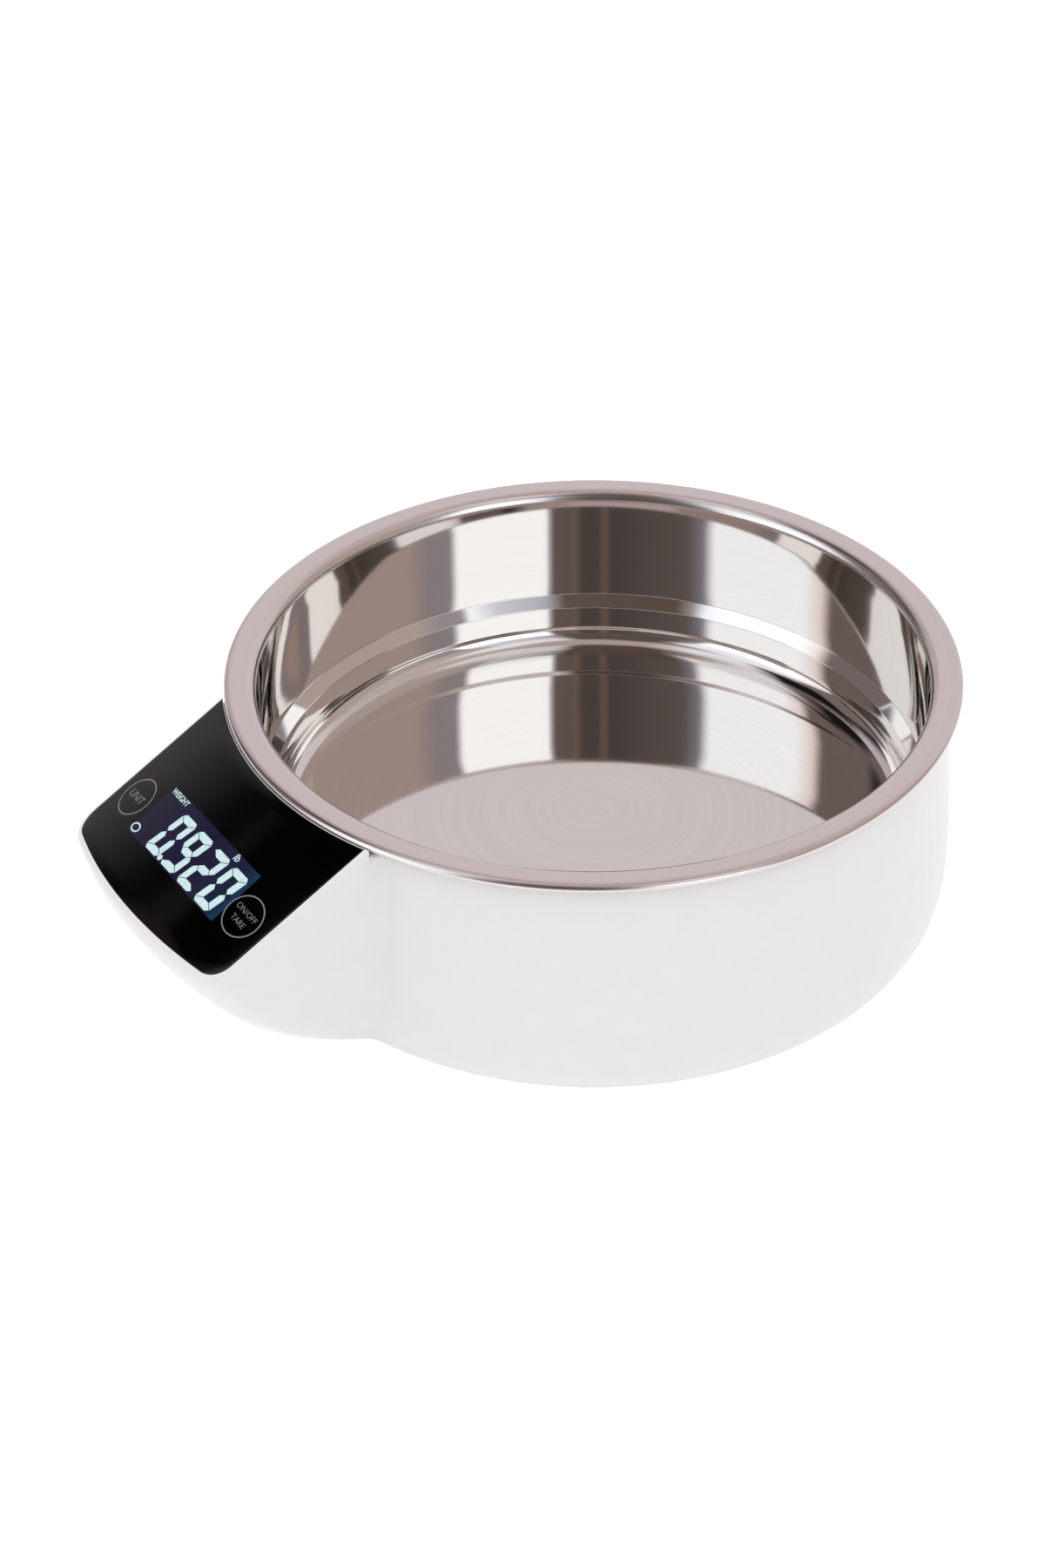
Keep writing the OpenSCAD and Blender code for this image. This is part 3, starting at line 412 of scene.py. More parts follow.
def model_bowl(s):
    facets, bead_steps, curl = 512, 14, -200
    inner, kinds = bowl_profile(s)
    top, r = BOWL_HIGH.z, s.radius
    bead = arc(r - s.roll, top - s.bead, s.roll, s.bead, 90, 0, bead_steps)[1:]
    bead += arc(r - s.bead, top - s.bead, s.bead, s.bead, 0, curl, bead_steps)[1:]
    outer = offset(inner, -s.sheet)[:-1]
    outer[0] = (0, outer[0][1])
    outer.append((r - s.roll, top - s.sheet))
    profile = inner + bead + outer[::-1]
    order = {"floor": 0, "corner": 1, "wall": 2, "step": 1, "flange": 3}
    kinds = [order[k] for k in kinds] + [order["flange"]] * len(bead) + [4] * len(outer)
    verts, faces = loft(spun(profile, facets), closed=False)
    of_face = kinds[: len(profile) - 1] * facets
    tone = tuple(s.steel)
    finishes = [
        turned_steel(name, tint, rough, depth * MM, (up * MM, out * MM), aniso, contrast, wave * MM)
        for name, tint, rough, depth, up, out, aniso, contrast, wave in (
            ("steel_floor", tone, (0.03, 0.055), 0.0003, 400, 0.55, 0.0, 0.95, 0),
            ("steel_corner", tone, (0.04, 0.06), 0.0003, 0.5, 0.5, 0.0, 0.95, 0),
            ("steel_wall", tone, (0.04, 0.06), 0.00003, 0.25, 400, 0.0, 0.96, 0.09),
            # The flange's tone is darker and pinker than the rest of the steel: a painted
            # reflection of the room round the bowl, blurred as the satin flange shows it.
            ("steel_flange_painted_reflection", (0.80, 0.73, 0.71), (0.17, 0.24), 0.001, 0.6, 0.4, 0.3, 0.95, 0),
            # The outside gets the steel's tone darkened to 0.8: painted shade, a darker copy of the
            # same steel.
            ("steel_outside_painted_shade", shade(tone, 0.8), (0.16, 0.26), 0.002, 0.3, 0.5, 0.5, 0.9, 0),
        )
    ]
    piece = mesh_piece("steel_bowl", verts, faces, finishes, "bowl", of_face, 30)
    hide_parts("bowl")


# ---- housing ----


KEY_ROW = 24 * MM  # from the bowl's edge forward to the row of keys
SLOPE_START = 1.5 * MM  # from the bowl's rim down to the slope at its edge
FRONT_TOP = 12.5 * MM  # from the row of keys down to where the tongue's front turns in
KEEL_RISE, LENS_GAP = 1.1 * MM, 0.3 * MM  # the tongue's curves above the foot; under the lens
FLOOR_TOP, FLOOR_UNDER, FLOOR_WIDTH = 5.5 * MM, 3.2 * MM, 7.3 * MM
SHELF_WIDTH, SHELF_DEPTH = 6 * MM, 2.5 * MM
RING_WALL, FOOT_CHAMFER, FOOT_EDGE = 1.5 * MM, 0.3 * MM, 0.25 * MM
CAP_INSET, MOUTH_LIP = 1.0 * MM, 0.5 * MM
ROUND_BEND, FRONT_BEND, SIDE_BEND = (5, 2), (1.6, 1.4), (2, 1.6)  # rise and turn of swelling()
EDGE_STEPS, SEAT_ROWS = 6, 11  # rows of top_edge(): its rounded edge and what follows
WALL_ROWS, UPPER_ROWS, LOWER_ROWS = 44, 20, 8


def swelling(z, top, low, wide, narrow, rise, turn):
    """A convex curve from full width at the top to the foot's width at the bottom."""
    s = min(1.0, max(0.0, (top - z) / (top - low)))
    return narrow + (wide - narrow) * (1 - s**rise) ** (1 / turn)


class HousingShape:
    """The housing's curves, worked out from its settings."""

    def __init__(self, s, lens):
        self.s = s
        self.foot = HOUSING_LOW.z
        self.top_radius = BOWL_HIGH.x - s.overhang
        self.belly = self.top_radius + s.swell
        self.half = s.width / 2
        self.slope_y = -(BOWL_HIGH.x + KEY_ROW)
        self.slope_z = BOWL_HIGH.z - SLOPE_START - KEY_ROW * tan(s.slope)
        self.keel_z = self.foot + KEEL_RISE
        self.tongue_top = self.slope_z - FRONT_TOP
        self.seat = lens + LENS_GAP

    def round_radius(self, z):
        s = self.s
        if z > s.belly_height:
            rise = (z - s.belly_height) / (s.top_height - s.belly_height)
            return self.belly - s.swell * rise
        return swelling(z, s.belly_height, self.foot, self.belly, s.ring_radius, *ROUND_BEND)

    def inner_radius(self, z):
        """Radius of the wall's inner face."""
        s = self.s
        if z > s.belly_height:
            return self.round_radius(z) - s.wall
        low, ring = self.foot + FLOOR_TOP, s.ring_radius - s.wall
        return swelling(z, s.belly_height, low, self.belly - s.wall, ring, *ROUND_BEND)

    def tongue_radius(self, turn, z, inset=0.0):
        """Distance from the axis to the tongue's outline, in a direction from its middle."""
        s, turn = self.s, abs(turn)
        if turn > radians(80):
            return 0.0
        low = self.keel_z
        reach = swelling(z, self.tongue_top, low, s.reach, s.ring_radius, *FRONT_BEND) - inset
        half = swelling(z, s.belly_height, low, self.half, s.keel, *SIDE_BEND) - inset
        corner = s.corner - inset
        cx = half - corner
        cy = sqrt((reach - corner) ** 2 - cx * cx)
        if turn <= atan2(cx, cy):
            return reach
        if turn < atan2(half, cy):
            off = turn - atan2(cx, cy)
            side = (reach - corner) * sin(off)
            return (reach - corner) * cos(off) + sqrt(max(0.0, corner**2 - side**2))
        return half / sin(turn)

    def outer_radius(self, turn, z):
        """Outer radius of body and tongue together, with a soft crease where they meet."""
        a, b = self.round_radius(z), self.tongue_radius(turn, z)
        blend = max(0.0, 1 - abs(a - b) / self.s.crease)
        return max(a, b) + blend * blend * self.s.crease / 4

    def sag(self, x):
        """How far the display's arch falls from its middle line."""
        return self.s.crown - sqrt(self.s.crown**2 - x * x)

    def slope_height(self, x, y):
        slope = self.s.slope
        return self.slope_z + (y - self.slope_y) * tan(slope) - self.sag(x) / cos(slope)

    def on_display(self, x, up, lift):
        """A place on the display: across, up the slope from the key row, and out of the lens."""
        slope, out = self.s.slope, lift - self.sag(x)
        y = self.slope_y + up * cos(slope) - out * sin(slope)
        return (x, y, self.slope_z + up * sin(slope) + out * cos(slope))

    def rim_turn(self):
        """Direction in which the tongue's side meets the room for the rolled edge."""
        return asin(self.half / self.s.relief_radius)

    def rear(self, inset):
        """Radius of the display's rear edge, which the white edge keeps away from the bowl."""
        return self.s.relief_radius + inset * self.s.lip / self.s.border

    def mitre(self, turn):
        """Width of the white edge in a direction: less beyond the lens's rear corner."""
        s = self.s
        if self.tongue_radius(turn, s.top_height, s.border) >= self.rear(s.border):
            return s.border
        low, high = 0.0, s.border
        for _ in range(40):
            mid = (low + high) / 2
            if self.tongue_radius(turn, s.top_height, mid) >= self.rear(mid):
                low = mid
            else:
                high = mid
        return low


def column_turns(shape):
    """Directions of the housing's columns, closer together where it bends most."""
    clear, close, near = 0.0012, 0.0001, 0.0003
    edge = shape.rim_turn()
    lens = asin((shape.half - shape.s.border) / shape.rear(shape.s.border))
    # In degrees: 1 apart in front, 0.15 round the lens's rear corner, 1.6 round the bowl.
    fine = [radians(a) for a in range(13)]
    fine += [radians(13 + 0.15 * k) for k in range(101)]
    fine = [a for a in fine if min(abs(a - edge), abs(a - lens)) > clear]
    fine += [lens - close, lens + close, edge - near, edge + close, edge + near]
    fine += [radians(28 + 1.6 * k) for k in range(1, 96)]
    fine = sorted(a for a in fine if a < pi - 0.01)
    return [-a for a in reversed(fine[1:])] + fine + [pi]


def top_edge(shape, turn):
    """The tongue's rounded edge, lens seat and relief, as (radius, height) from outside in."""
    s = shape.s
    border = shape.mitre(turn)
    sx, cy = sin(turn), cos(turn)

    def lie(r, down=0.0):
        return (r, shape.slope_height(r * sx, -r * cy) - down)

    def outline(inset):
        inset = min(inset, border)
        return max(shape.tongue_radius(turn, s.top_height, inset), shape.rear(inset))

    edge = min(s.rounding, border)
    turns = quarter(EDGE_STEPS)[1:]
    rows = [lie(outline(edge * (1 - cos(t))), edge * (1 - sin(t))) for t in turns]
    # Beyond the lens's rear corner the edge is narrower and has no seat.
    seat = shape.seat if border >= s.border - 1e-9 else 0.0
    outer, inner = outline(s.border), shape.rear(border)
    lip = (inner - s.relief_radius) / 2
    soft = lip * 0.8 if seat else 0.0
    rows += [lie(outer + soft), lie(outer, soft), lie(outer, seat), lie(inner, seat)]
    rows += [lie(inner, soft), lie(inner - soft)]
    rows += [lie(s.relief_radius + lip * (1 - sin(t)), lip * (1 - cos(t))) for t in quarter(3)]
    rows.append((s.relief_radius, s.top_height - s.relief_drop))
    return rows


def housing_column(shape, turn):
    """One upright section through the wall, as a closed loop of (radius, height).

    All columns have equally many points. Beside the tongue the wall's top goes down to the
    relief under the bowl's edge, by as much as the crease has widened the wall there.
    """
    s = shape.s
    if abs(turn) < shape.rim_turn():
        drop = s.relief_drop
        rows = top_edge(shape, turn)
        r = shape.tongue_radius(turn, s.top_height)
        edge = min(s.rounding, shape.mitre(turn))
        top = shape.slope_height(r * sin(turn), -r * cos(turn)) - edge
    else:
        r = shape.outer_radius(turn, s.top_height)
        widened = min(1.0, (r - shape.top_radius) / (s.relief_radius - shape.top_radius))
        drop = s.relief_drop * widened
        # The first column beside the tongue is square, to meet the tongue's relief.
        beside = abs(turn) <= shape.rim_turn() + 0.0002
        edge = 0.0 if beside else max(s.cap, r - shape.top_radius - CAP_INSET)
        top = s.top_height - drop - edge
        rows = [(r - edge * (1 - cos(t)), top + edge * sin(t)) for t in quarter(EDGE_STEPS)[1:]]
        rows += [rows[-1]] * SEAT_ROWS
    base = shape.foot
    wall = []
    for k in range(WALL_ROWS):
        z = base + (top - base) * (k / (WALL_ROWS - 1)) ** 1.7
        wall.append((shape.outer_radius(turn, z), z))
    wall[0] = (s.ring_radius - FOOT_CHAMFER, base)
    wall.insert(1, (s.ring_radius, base + FOOT_EDGE))
    mouth, brim, lip = shape.top_radius - s.wall, s.top_height - drop, MOUTH_LIP
    inside = [(mouth + lip * (1 - sin(t)), brim - lip * (1 - cos(t))) for t in quarter(3)]
    ledge = DECK_LOW.z
    for k in range(1, UPPER_ROWS + 1):
        z = brim - lip - (brim - lip - ledge) * k / UPPER_ROWS
        inside.append((shape.inner_radius(z), z))
    shelf, under = DECK_HIGH.x - SHELF_WIDTH, ledge - SHELF_DEPTH
    inside += [(shelf, ledge), (shelf, under)]
    for k in range(LOWER_ROWS):
        z = under - (under - base - FLOOR_TOP) * k / LOWER_ROWS
        inside.append((shape.inner_radius(z), z))
    recess = s.ring_radius - RING_WALL
    opening = recess - FLOOR_WIDTH
    inside += [(s.ring_radius - s.wall, base + FLOOR_TOP), (opening, base + FLOOR_TOP)]
    inside.append((opening, base + FLOOR_UNDER))
    inside += [(recess, base + FLOOR_UNDER), (recess, base + FOOT_CHAMFER)]
    inside.append((recess + FOOT_CHAMFER, base))
    return wall + rows + inside


def model_housing(s, display):
    shape = HousingShape(s, display.lens)
    rings = []
    for turn in column_turns(shape):
        sx, cy = sin(turn), cos(turn)
        rings.append([(r * sx, -r * cy, z) for r, z in housing_column(shape, turn)])
    verts, faces = loft(rings)
    tone = tuple(s.plastic)
    made, tree, shader = finish("white_gloss", tone, 0.25, specular_ior_level=0.22)
    place, dark, rough = object_place(tree), shade(tone, 0.985), (0.20, 0.27)
    vary(tree, shader, place, 7 * MM, dark, tone, rough, 0.004 * MM, detail=5.0)
    piece = mesh_piece("white_housing", verts, faces, [made], "housing", crease=32)
    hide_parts("outer_housing")


# ---- display ----

# Lower and upper face of each print, measured out of the lens's face.
WINDOW_LAYER, LIT_LAYER, KEY_LAYER = (
    (low * MM, high * MM) for low, high in ((-0.3, 0.02), (-0.2, 0.05), (-0.2, 0.03))
)
# Places and sizes in the readout, across and up from the middle between the keys.
READOUT_MIDDLE, READOUT_HALF = (1.3 * MM, 1.3 * MM), (23.9 * MM, 8.6 * MM)
FIGURES_CORNER, POINT_RADIUS = (-12.7 * MM, -6.85 * MM), 0.85 * MM
ZERO_MARK = (-20.9 * MM, -5.3 * MM, 2.0 * MM, 1.45 * MM, 0.46 * MM, 40)


def model_lens(s, display):
    shape = HousingShape(s, display.lens)
    inset, back = s.border + display.fit, shape.rear(s.border) + display.fit
    widest = asin((shape.half - inset) / back)
    close, bevel, face_rows = 0.0006, 0.25 * MM, 14
    turns = [t for t in column_turns(shape) if abs(t) < widest - close]
    turns = [-widest] + turns + [widest]
    rings = []
    for turn in turns:
        sx, cy = sin(turn), cos(turn)

        def lie(r, down):
            return (r * sx, -r * cy, shape.slope_height(r * sx, -r * cy) - down)

        def front(more):
            return max(shape.tongue_radius(turn, s.top_height, inset + more), back + more)

        room = front(0) - back
        soft = min(bevel, room / 3)
        ring = [lie(back, display.lens), lie(front(0), display.lens)]
        for t in quarter(4):
            ring.append(lie(front(soft * (1 - cos(t))), soft * (1 - sin(t))))
        outer, inner = front(soft), back + soft
        for k in range(1, face_rows + 1):
            ring.append(lie(outer + (inner - outer) * k / face_rows, 0))
        for t in quarter(4)[1:]:
            ring.append(lie(back + soft * (1 - sin(t)), soft * (1 - cos(t))))
        rings.append(ring)
    verts, faces = loft(rings, wrap=False)
    n = len(rings[0])
    faces += [tuple(range(n)), tuple(len(verts) - 1 - k for k in range(n))]
    made, tree, shader = finish("black_acrylic", (0.0008, 0.0008, 0.0009), 0.05, ior=1.49)
    place, dark, light = object_place(tree), (0.0006, 0.0006, 0.0007), (0.001, 0.001, 0.0011)
    vary(tree, shader, place, 18 * MM, dark, light, (0.035, 0.07), 0.002 * MM, detail=2.0)
    piece = mesh_piece("black_lens", verts, faces, [made], "housing", crease=35)
    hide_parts("display_lens")


def print_on_lens(name, shape, made, layer, outlines=(), flat=()):
    """A thin print that follows the lens: closed outlines and flat meshes, in metres."""
    low, high = layer
    bm = bmesh.new()
    for outline in outlines:
        bm.faces.new([bm.verts.new((x, up, 0)) for x, up in outline])
    for mesh in flat:
        bm.from_mesh(mesh)
    bmesh.ops.remove_doubles(bm, verts=bm.verts, dist=1e-7)
    wide = max(abs(v.co.x) for v in bm.verts)
    for k in range(-int(wide / MM), int(wide / MM) + 1):
        every = bm.verts[:] + bm.edges[:] + bm.faces[:]
        bmesh.ops.bisect_plane(bm, geom=every, plane_co=(k * MM, 0, 0), plane_no=(1, 0, 0))
    grown = bmesh.ops.extrude_face_region(bm, geom=bm.faces[:])
    for v in grown["geom"]:
        if isinstance(v, bmesh.types.BMVert):
            v.co.z = 1.0
    for v in bm.verts:
        v.co = shape.on_display(v.co.x, v.co.y, high if v.co.z > 0.5 else low)
    mesh = bpy.data.meshes.new(name)
    bm.to_mesh(mesh)
    bm.free()
    return finish_piece(name, mesh, [made], "housing", 35)


def turned(points, by, about):
    """Flat points turned about a place."""
    c, s, (cx, cy) = cos(by), sin(by), about
    return [
        (cx + c * (x - cx) - s * (y - cy), cy + s * (x - cx) + c * (y - cy)) for x, y in points
    ]


def lettering(text, size, middle, lean=0.0, weight=0.0):
    """A flat mesh of plain letters round a middle point, size being the height of a capital."""
    capital = 0.73
    curve = bpy.data.curves.new("letters", "FONT")
    curve.body, curve.size, curve.shear, curve.offset = text, size / capital, lean, weight
    curve.align_x, curve.align_y = "CENTER", "CENTER"
    curve.resolution_u = 3
    holder = bpy.data.objects.new("letters", curve)
    bpy.context.scene.collection.objects.link(holder)
    bpy.context.view_layer.update()
    seen = holder.evaluated_get(bpy.context.evaluated_depsgraph_get())
    mesh = bpy.data.meshes.new_from_object(seen)
    bpy.data.objects.remove(holder)
    for k in (0, 1):
        places = [v.co[k] for v in mesh.vertices]
        shift = middle[k] - (min(places) + max(places)) / 2
        for v in mesh.vertices:
            v.co[k] += shift
    return mesh


SEGMENTS = {
    "0": "abcdef", "1": "bc", "2": "abged", "3": "abgcd", "4": "fgbc", "5": "afgcd",
    "6": "afgedc", "7": "abc", "8": "abcdefg", "9": "abfgcd", "-": "g", " ": "",
}


def digit_outlines(figure, w, h, t):
    """Mitred segments of one upright figure with its lower left corner at the origin.

    w, h and t are the figure's width and height and the segments' thickness, m the figure's
    middle height, g half the gap between segments and c the cut of the outer corners.
    """
    m, g, c = h / 2, 0.16 * MM, 0.42 * t
    parts = {
        "d": [(g, c), (c + g, 0), (w - c - g, 0), (w - g, c), (w - t - g, t), (t + g, t)],
        "e": [(0, c + g), (t, t + g), (t, m - t / 2 - g), (t / 2, m - g), (0, m - t / 2 - g)],
        "g": [
            (t / 2 + g, m), (t + g, m - t / 2), (w - t - g, m - t / 2),
            (w - t / 2 - g, m), (w - t - g, m + t / 2), (t + g, m + t / 2),
        ],
    }
    for up, down in ("ad", "fe"):
        parts[up] = [(x, h - y) for x, y in reversed(parts[down])]
    for right, left in ("bf", "ce"):
        parts[right] = [(w - x, y) for x, y in reversed(parts[left])]
    return [parts[k] for k in SEGMENTS[figure]]


def ring_outlines(cx, cy, rx, ry, line, n=72):
    """A ring of n four-sided outlines."""
    turns = [2 * pi * k / n for k in range(n)]
    inner, outer = (
        [(cx + (rx - w) * cos(a), cy + (ry - w) * sin(a)) for a in turns]
        for w in (line, 0)
    )
    return [[inner[k - 1], outer[k - 1], outer[k], inner[k]] for k in range(n)]


def window_finish(display):
    """The readout's dark field, with light that leaks in from its right-hand end."""
    made, tree, shader = finish("readout_field", tuple(display.dark), 0.06, ior=1.49)
    share = share_along(tree, -22 * MM, 25 * MM)
    noise = node(tree, "TexNoise", {"Vector": object_place(tree), "Scale": 160.0, "Detail": 1.0})
    uneven = node(tree, "Math", {0: noise.outputs["Fac"], 1: 0.06}, operation="MULTIPLY").outputs[0]
    share = node(tree, "Math", {0: share, 1: uneven}, operation="ADD").outputs[0]
    stops = [
        (0.0, (0.005, 0.006, 0.017)), (0.35, (0.016, 0.011, 0.040)),
        (0.7, (0.013, 0.011, 0.036)), (0.9, (0.010, 0.020, 0.045)),
        (0.98, (0.010, 0.024, 0.055)), (1.0, (0.012, 0.040, 0.09)),
    ]
    tree.links.new(ramp(tree, share, stops), shader.inputs["Emission Color"])
    shader.inputs["Emission Strength"].default_value = 0.8
    return made


def lit_finish(display):
    """Segments that give light of their own."""
    tone = tuple(display.lit)
    made, tree, shader = finish("lit_segment", shade(tone, 0.02), 0.06)
    noise = node(tree, "TexNoise", {"Vector": object_place(tree), "Scale": 900.0, "Detail": 2.0})
    tint = ramp(tree, noise.outputs["Fac"], [(0.3, shade(tone, 0.92)), (0.7, shade(tone, 1.06))])
    tree.links.new(tint, shader.inputs["Emission Color"])
    shader.inputs["Emission Strength"].default_value = 1.0
    return made


def model_readout(s, display):
    shape, middle = HousingShape(s, display.lens), READOUT_MIDDLE
    hx, hy = READOUT_HALF
    window = [(-hx, -hy), (hx, -hy), (hx, hy), (-hx, hy)]
    window = turned([(x + middle[0], y + middle[1]) for x, y in window], display.turn, middle)
    field = window_finish(display)
    print_on_lens("readout_window", shape, field, WINDOW_LAYER, [window])
    width, height, pitch = display.digit_width, display.digit_height, display.digit_pitch
    lean = tan(display.slant)
    left, base = FIGURES_CORNER
    lit = []
    for mark in display.reading:
        if mark == ".":
            r = POINT_RADIUS
            cx, cy = left - (pitch - width) / 2, base + r
            turns = [k / 8 * pi for k in range(16)]
            lit.append([(cx + r * cos(a), cy + r * sin(a)) for a in turns])
            continue
        for outline in digit_outlines(mark, width, height, display.segment):
            lit.append([(left + x + y * lean, base + y) for x, y in outline])
        left += pitch
    lit += ring_outlines(*ZERO_MARK)
    lit = [turned(outline, display.turn, middle) for outline in lit]
    made = lit_finish(display)
    print_on_lens("lit_figures", shape, made, LIT_LAYER, lit)
    bold = 0.03 * MM
    tags = [
        lettering("WEIGHT", 1.75 * MM, (-17.5 * MM, 8.5 * MM), weight=bold),
        lettering("lb", 2.2 * MM, (15.0 * MM, 8.9 * MM), lean=0.15, weight=bold),
    ]
    print_on_lens("lit_tags", shape, made, LIT_LAYER, flat=tags)


def model_keys(s, display):
    shape = HousingShape(s, display.lens)
    made = grained("key_print", (0.27, 0.265, 0.27), 0.6, (0.35, 0.5), 0.004, 0.8)
    x, r, line, thin = display.key_offset, display.key_radius, 0.34 * MM, -0.03 * MM
    rings = ring_outlines(-x, 0, r, r, line) + ring_outlines(x, 0, r, r, line)
    print_on_lens("key_rings", shape, made, KEY_LAYER, rings)
    words = [
        lettering("UNIT", 2.5 * MM, (-x, 0), weight=thin),
        lettering("ON/OFF", 1.75 * MM, (x, 1.35 * MM), weight=thin),
        lettering("TARE", 1.75 * MM, (x, -1.75 * MM), weight=thin),
    ]
    print_on_lens("key_legends", shape, made, KEY_LAYER, flat=words)


# ---- what lies under the bowl, in the tongue and under the scale ----


def zinc():
    """The plated steel of screws and brackets."""
    name = "zinc_plate"
    return bpy.data.materials.get(name) or grained(
        name, (0.62, 0.62, 0.60), 0.5, (0.25, 0.38), 0.006, 0.85, metallic=1.0
    )


def dress_well():
    matt = grained("matt_white", (0.72, 0.72, 0.71), 0.35, (0.42, 0.52), 0.015, 0.97)
    tone, drawn = (0.74, 0.74, 0.75), (0.08, 1, 1)
    metal = grained("drawn_aluminium", tone, 0.3, (0.25, 0.4), 0.006, 0.88, drawn, metallic=1.0)
    tone, milky = (0.62, 0.63, 0.63), {"subsurface_weight": 0.3}
    silicone = grained("milky_silicone", tone, 0.8, (0.4, 0.5), 0.01, 0.95, **milky)
    dress(matt, "weighing_platform", "inner_deck")
    dress(silicone, "platform_pads", "gauge_seal")
    dress(metal, "platform_spacer", "load_cell")
    dress(zinc(), "load_cell_mount", "platform_screws", "deck_screws", "load_cell_screws")


def dress_underside():
    sparked = grained("spark_white", (0.74, 0.735, 0.74), 0.25, (0.4, 0.5), 0.02, 0.96)
    rubber = grained("foot_rubber", (0.35, 0.35, 0.36), 0.2, (0.7, 0.85), 0.02, 0.85)
    tone = (0.66, 0.65, 0.62)
    spring = grained("spring_steel", tone, 0.3, (0.2, 0.3), 0.004, 0.88, metallic=1.0)
    dress(sparked, "base_cover", "battery_door")
    dress(zinc(), "base_screws")
    dress(rubber, "feet")
    dress(spring, "battery_springs", "battery_plates", "key_springs")
    cap, dark, copper = (0.6, 0.6, 0.58), (0.02, 0.022, 0.03), (0.55, 0.33, 0.14)
    bands = [(0.0, cap), (0.02, dark), (0.7, copper), (0.965, cap)]
    for name, way in (("battery_left", 1), ("battery_right", -1)):
        low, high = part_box(name)
        ends = (low.x, high.x)[::way]
        dress(banded(f"{name}_sleeve", ends, bands, 0.3, coat_weight=0.4), name)


def board_finish():
    """Solder resist over a grid of tracks."""
    made, tree, shader = finish("solder_resist", (0.01, 0.11, 0.035), 0.3, coat_weight=0.3)
    place = object_place(tree, (380, 380, 380))
    tracks = node(tree, "TexBrick", {"Vector": place, "Scale": 1.0, "Mortar Size": 0.12})
    tracks.inputs["Color1"].default_value = (0.008, 0.10, 0.03, 1)
    tracks.inputs["Color2"].default_value = (0.01, 0.12, 0.04, 1)
    tracks.inputs["Mortar"].default_value = (0.03, 0.2, 0.07, 1)
    tree.links.new(tracks.outputs["Color"], shader.inputs["Base Color"])
    emboss(tree, shader, tracks.outputs["Fac"], 0.03 * MM)
    return made


def dress_electronics():
    brown, stripes = (0.35, 0.25, 0.25), {"stretch": (1, 0.02, 0.02)}
    clear = {"transmission_weight": 0.3}
    for part, name, tone, grain, rough, depth, contrast, more in (
        ("lens_gasket", "black_foam", (0.02, 0.02, 0.02), 0.3, (0.85, 0.95), 0.06, 0.6, {}),
        ("lcd_module", "lcd_glass", (0.02, 0.03, 0.03), 4, (0.03, 0.06), 0.001, 0.8, {}),
        ("lcd_frame", "white_holder", (0.68, 0.68, 0.68), 0.3, (0.4, 0.5), 0.01, 0.96, {}),
        ("backlight", "light_guide", (0.75, 0.78, 0.8), 1.2, (0.15, 0.25), 0.01, 0.96, clear),
        ("contact_strips", "striped_rubber", brown, 0.18, (0.5, 0.65), 0.01, 0.3, stripes),
        ("board_parts", "black_epoxy", (0.015, 0.015, 0.016), 0.25, (0.45, 0.6), 0.01, 0.7, {}),
        ("sensor_cable", "grey_lead", (0.42, 0.42, 0.43), 0.8, (0.45, 0.55), 0.02, 0.9, {}),
        ("battery_leads", "red_lead", (0.42, 0.02, 0.015), 0.5, (0.4, 0.5), 0.01, 0.85, {}),
    ):
        dress(grained(name, tone, grain, rough, depth, contrast, **more), part)
    dress(board_finish(), "control_board")
    dress(zinc(), "board_screws")


# ---- studio ----


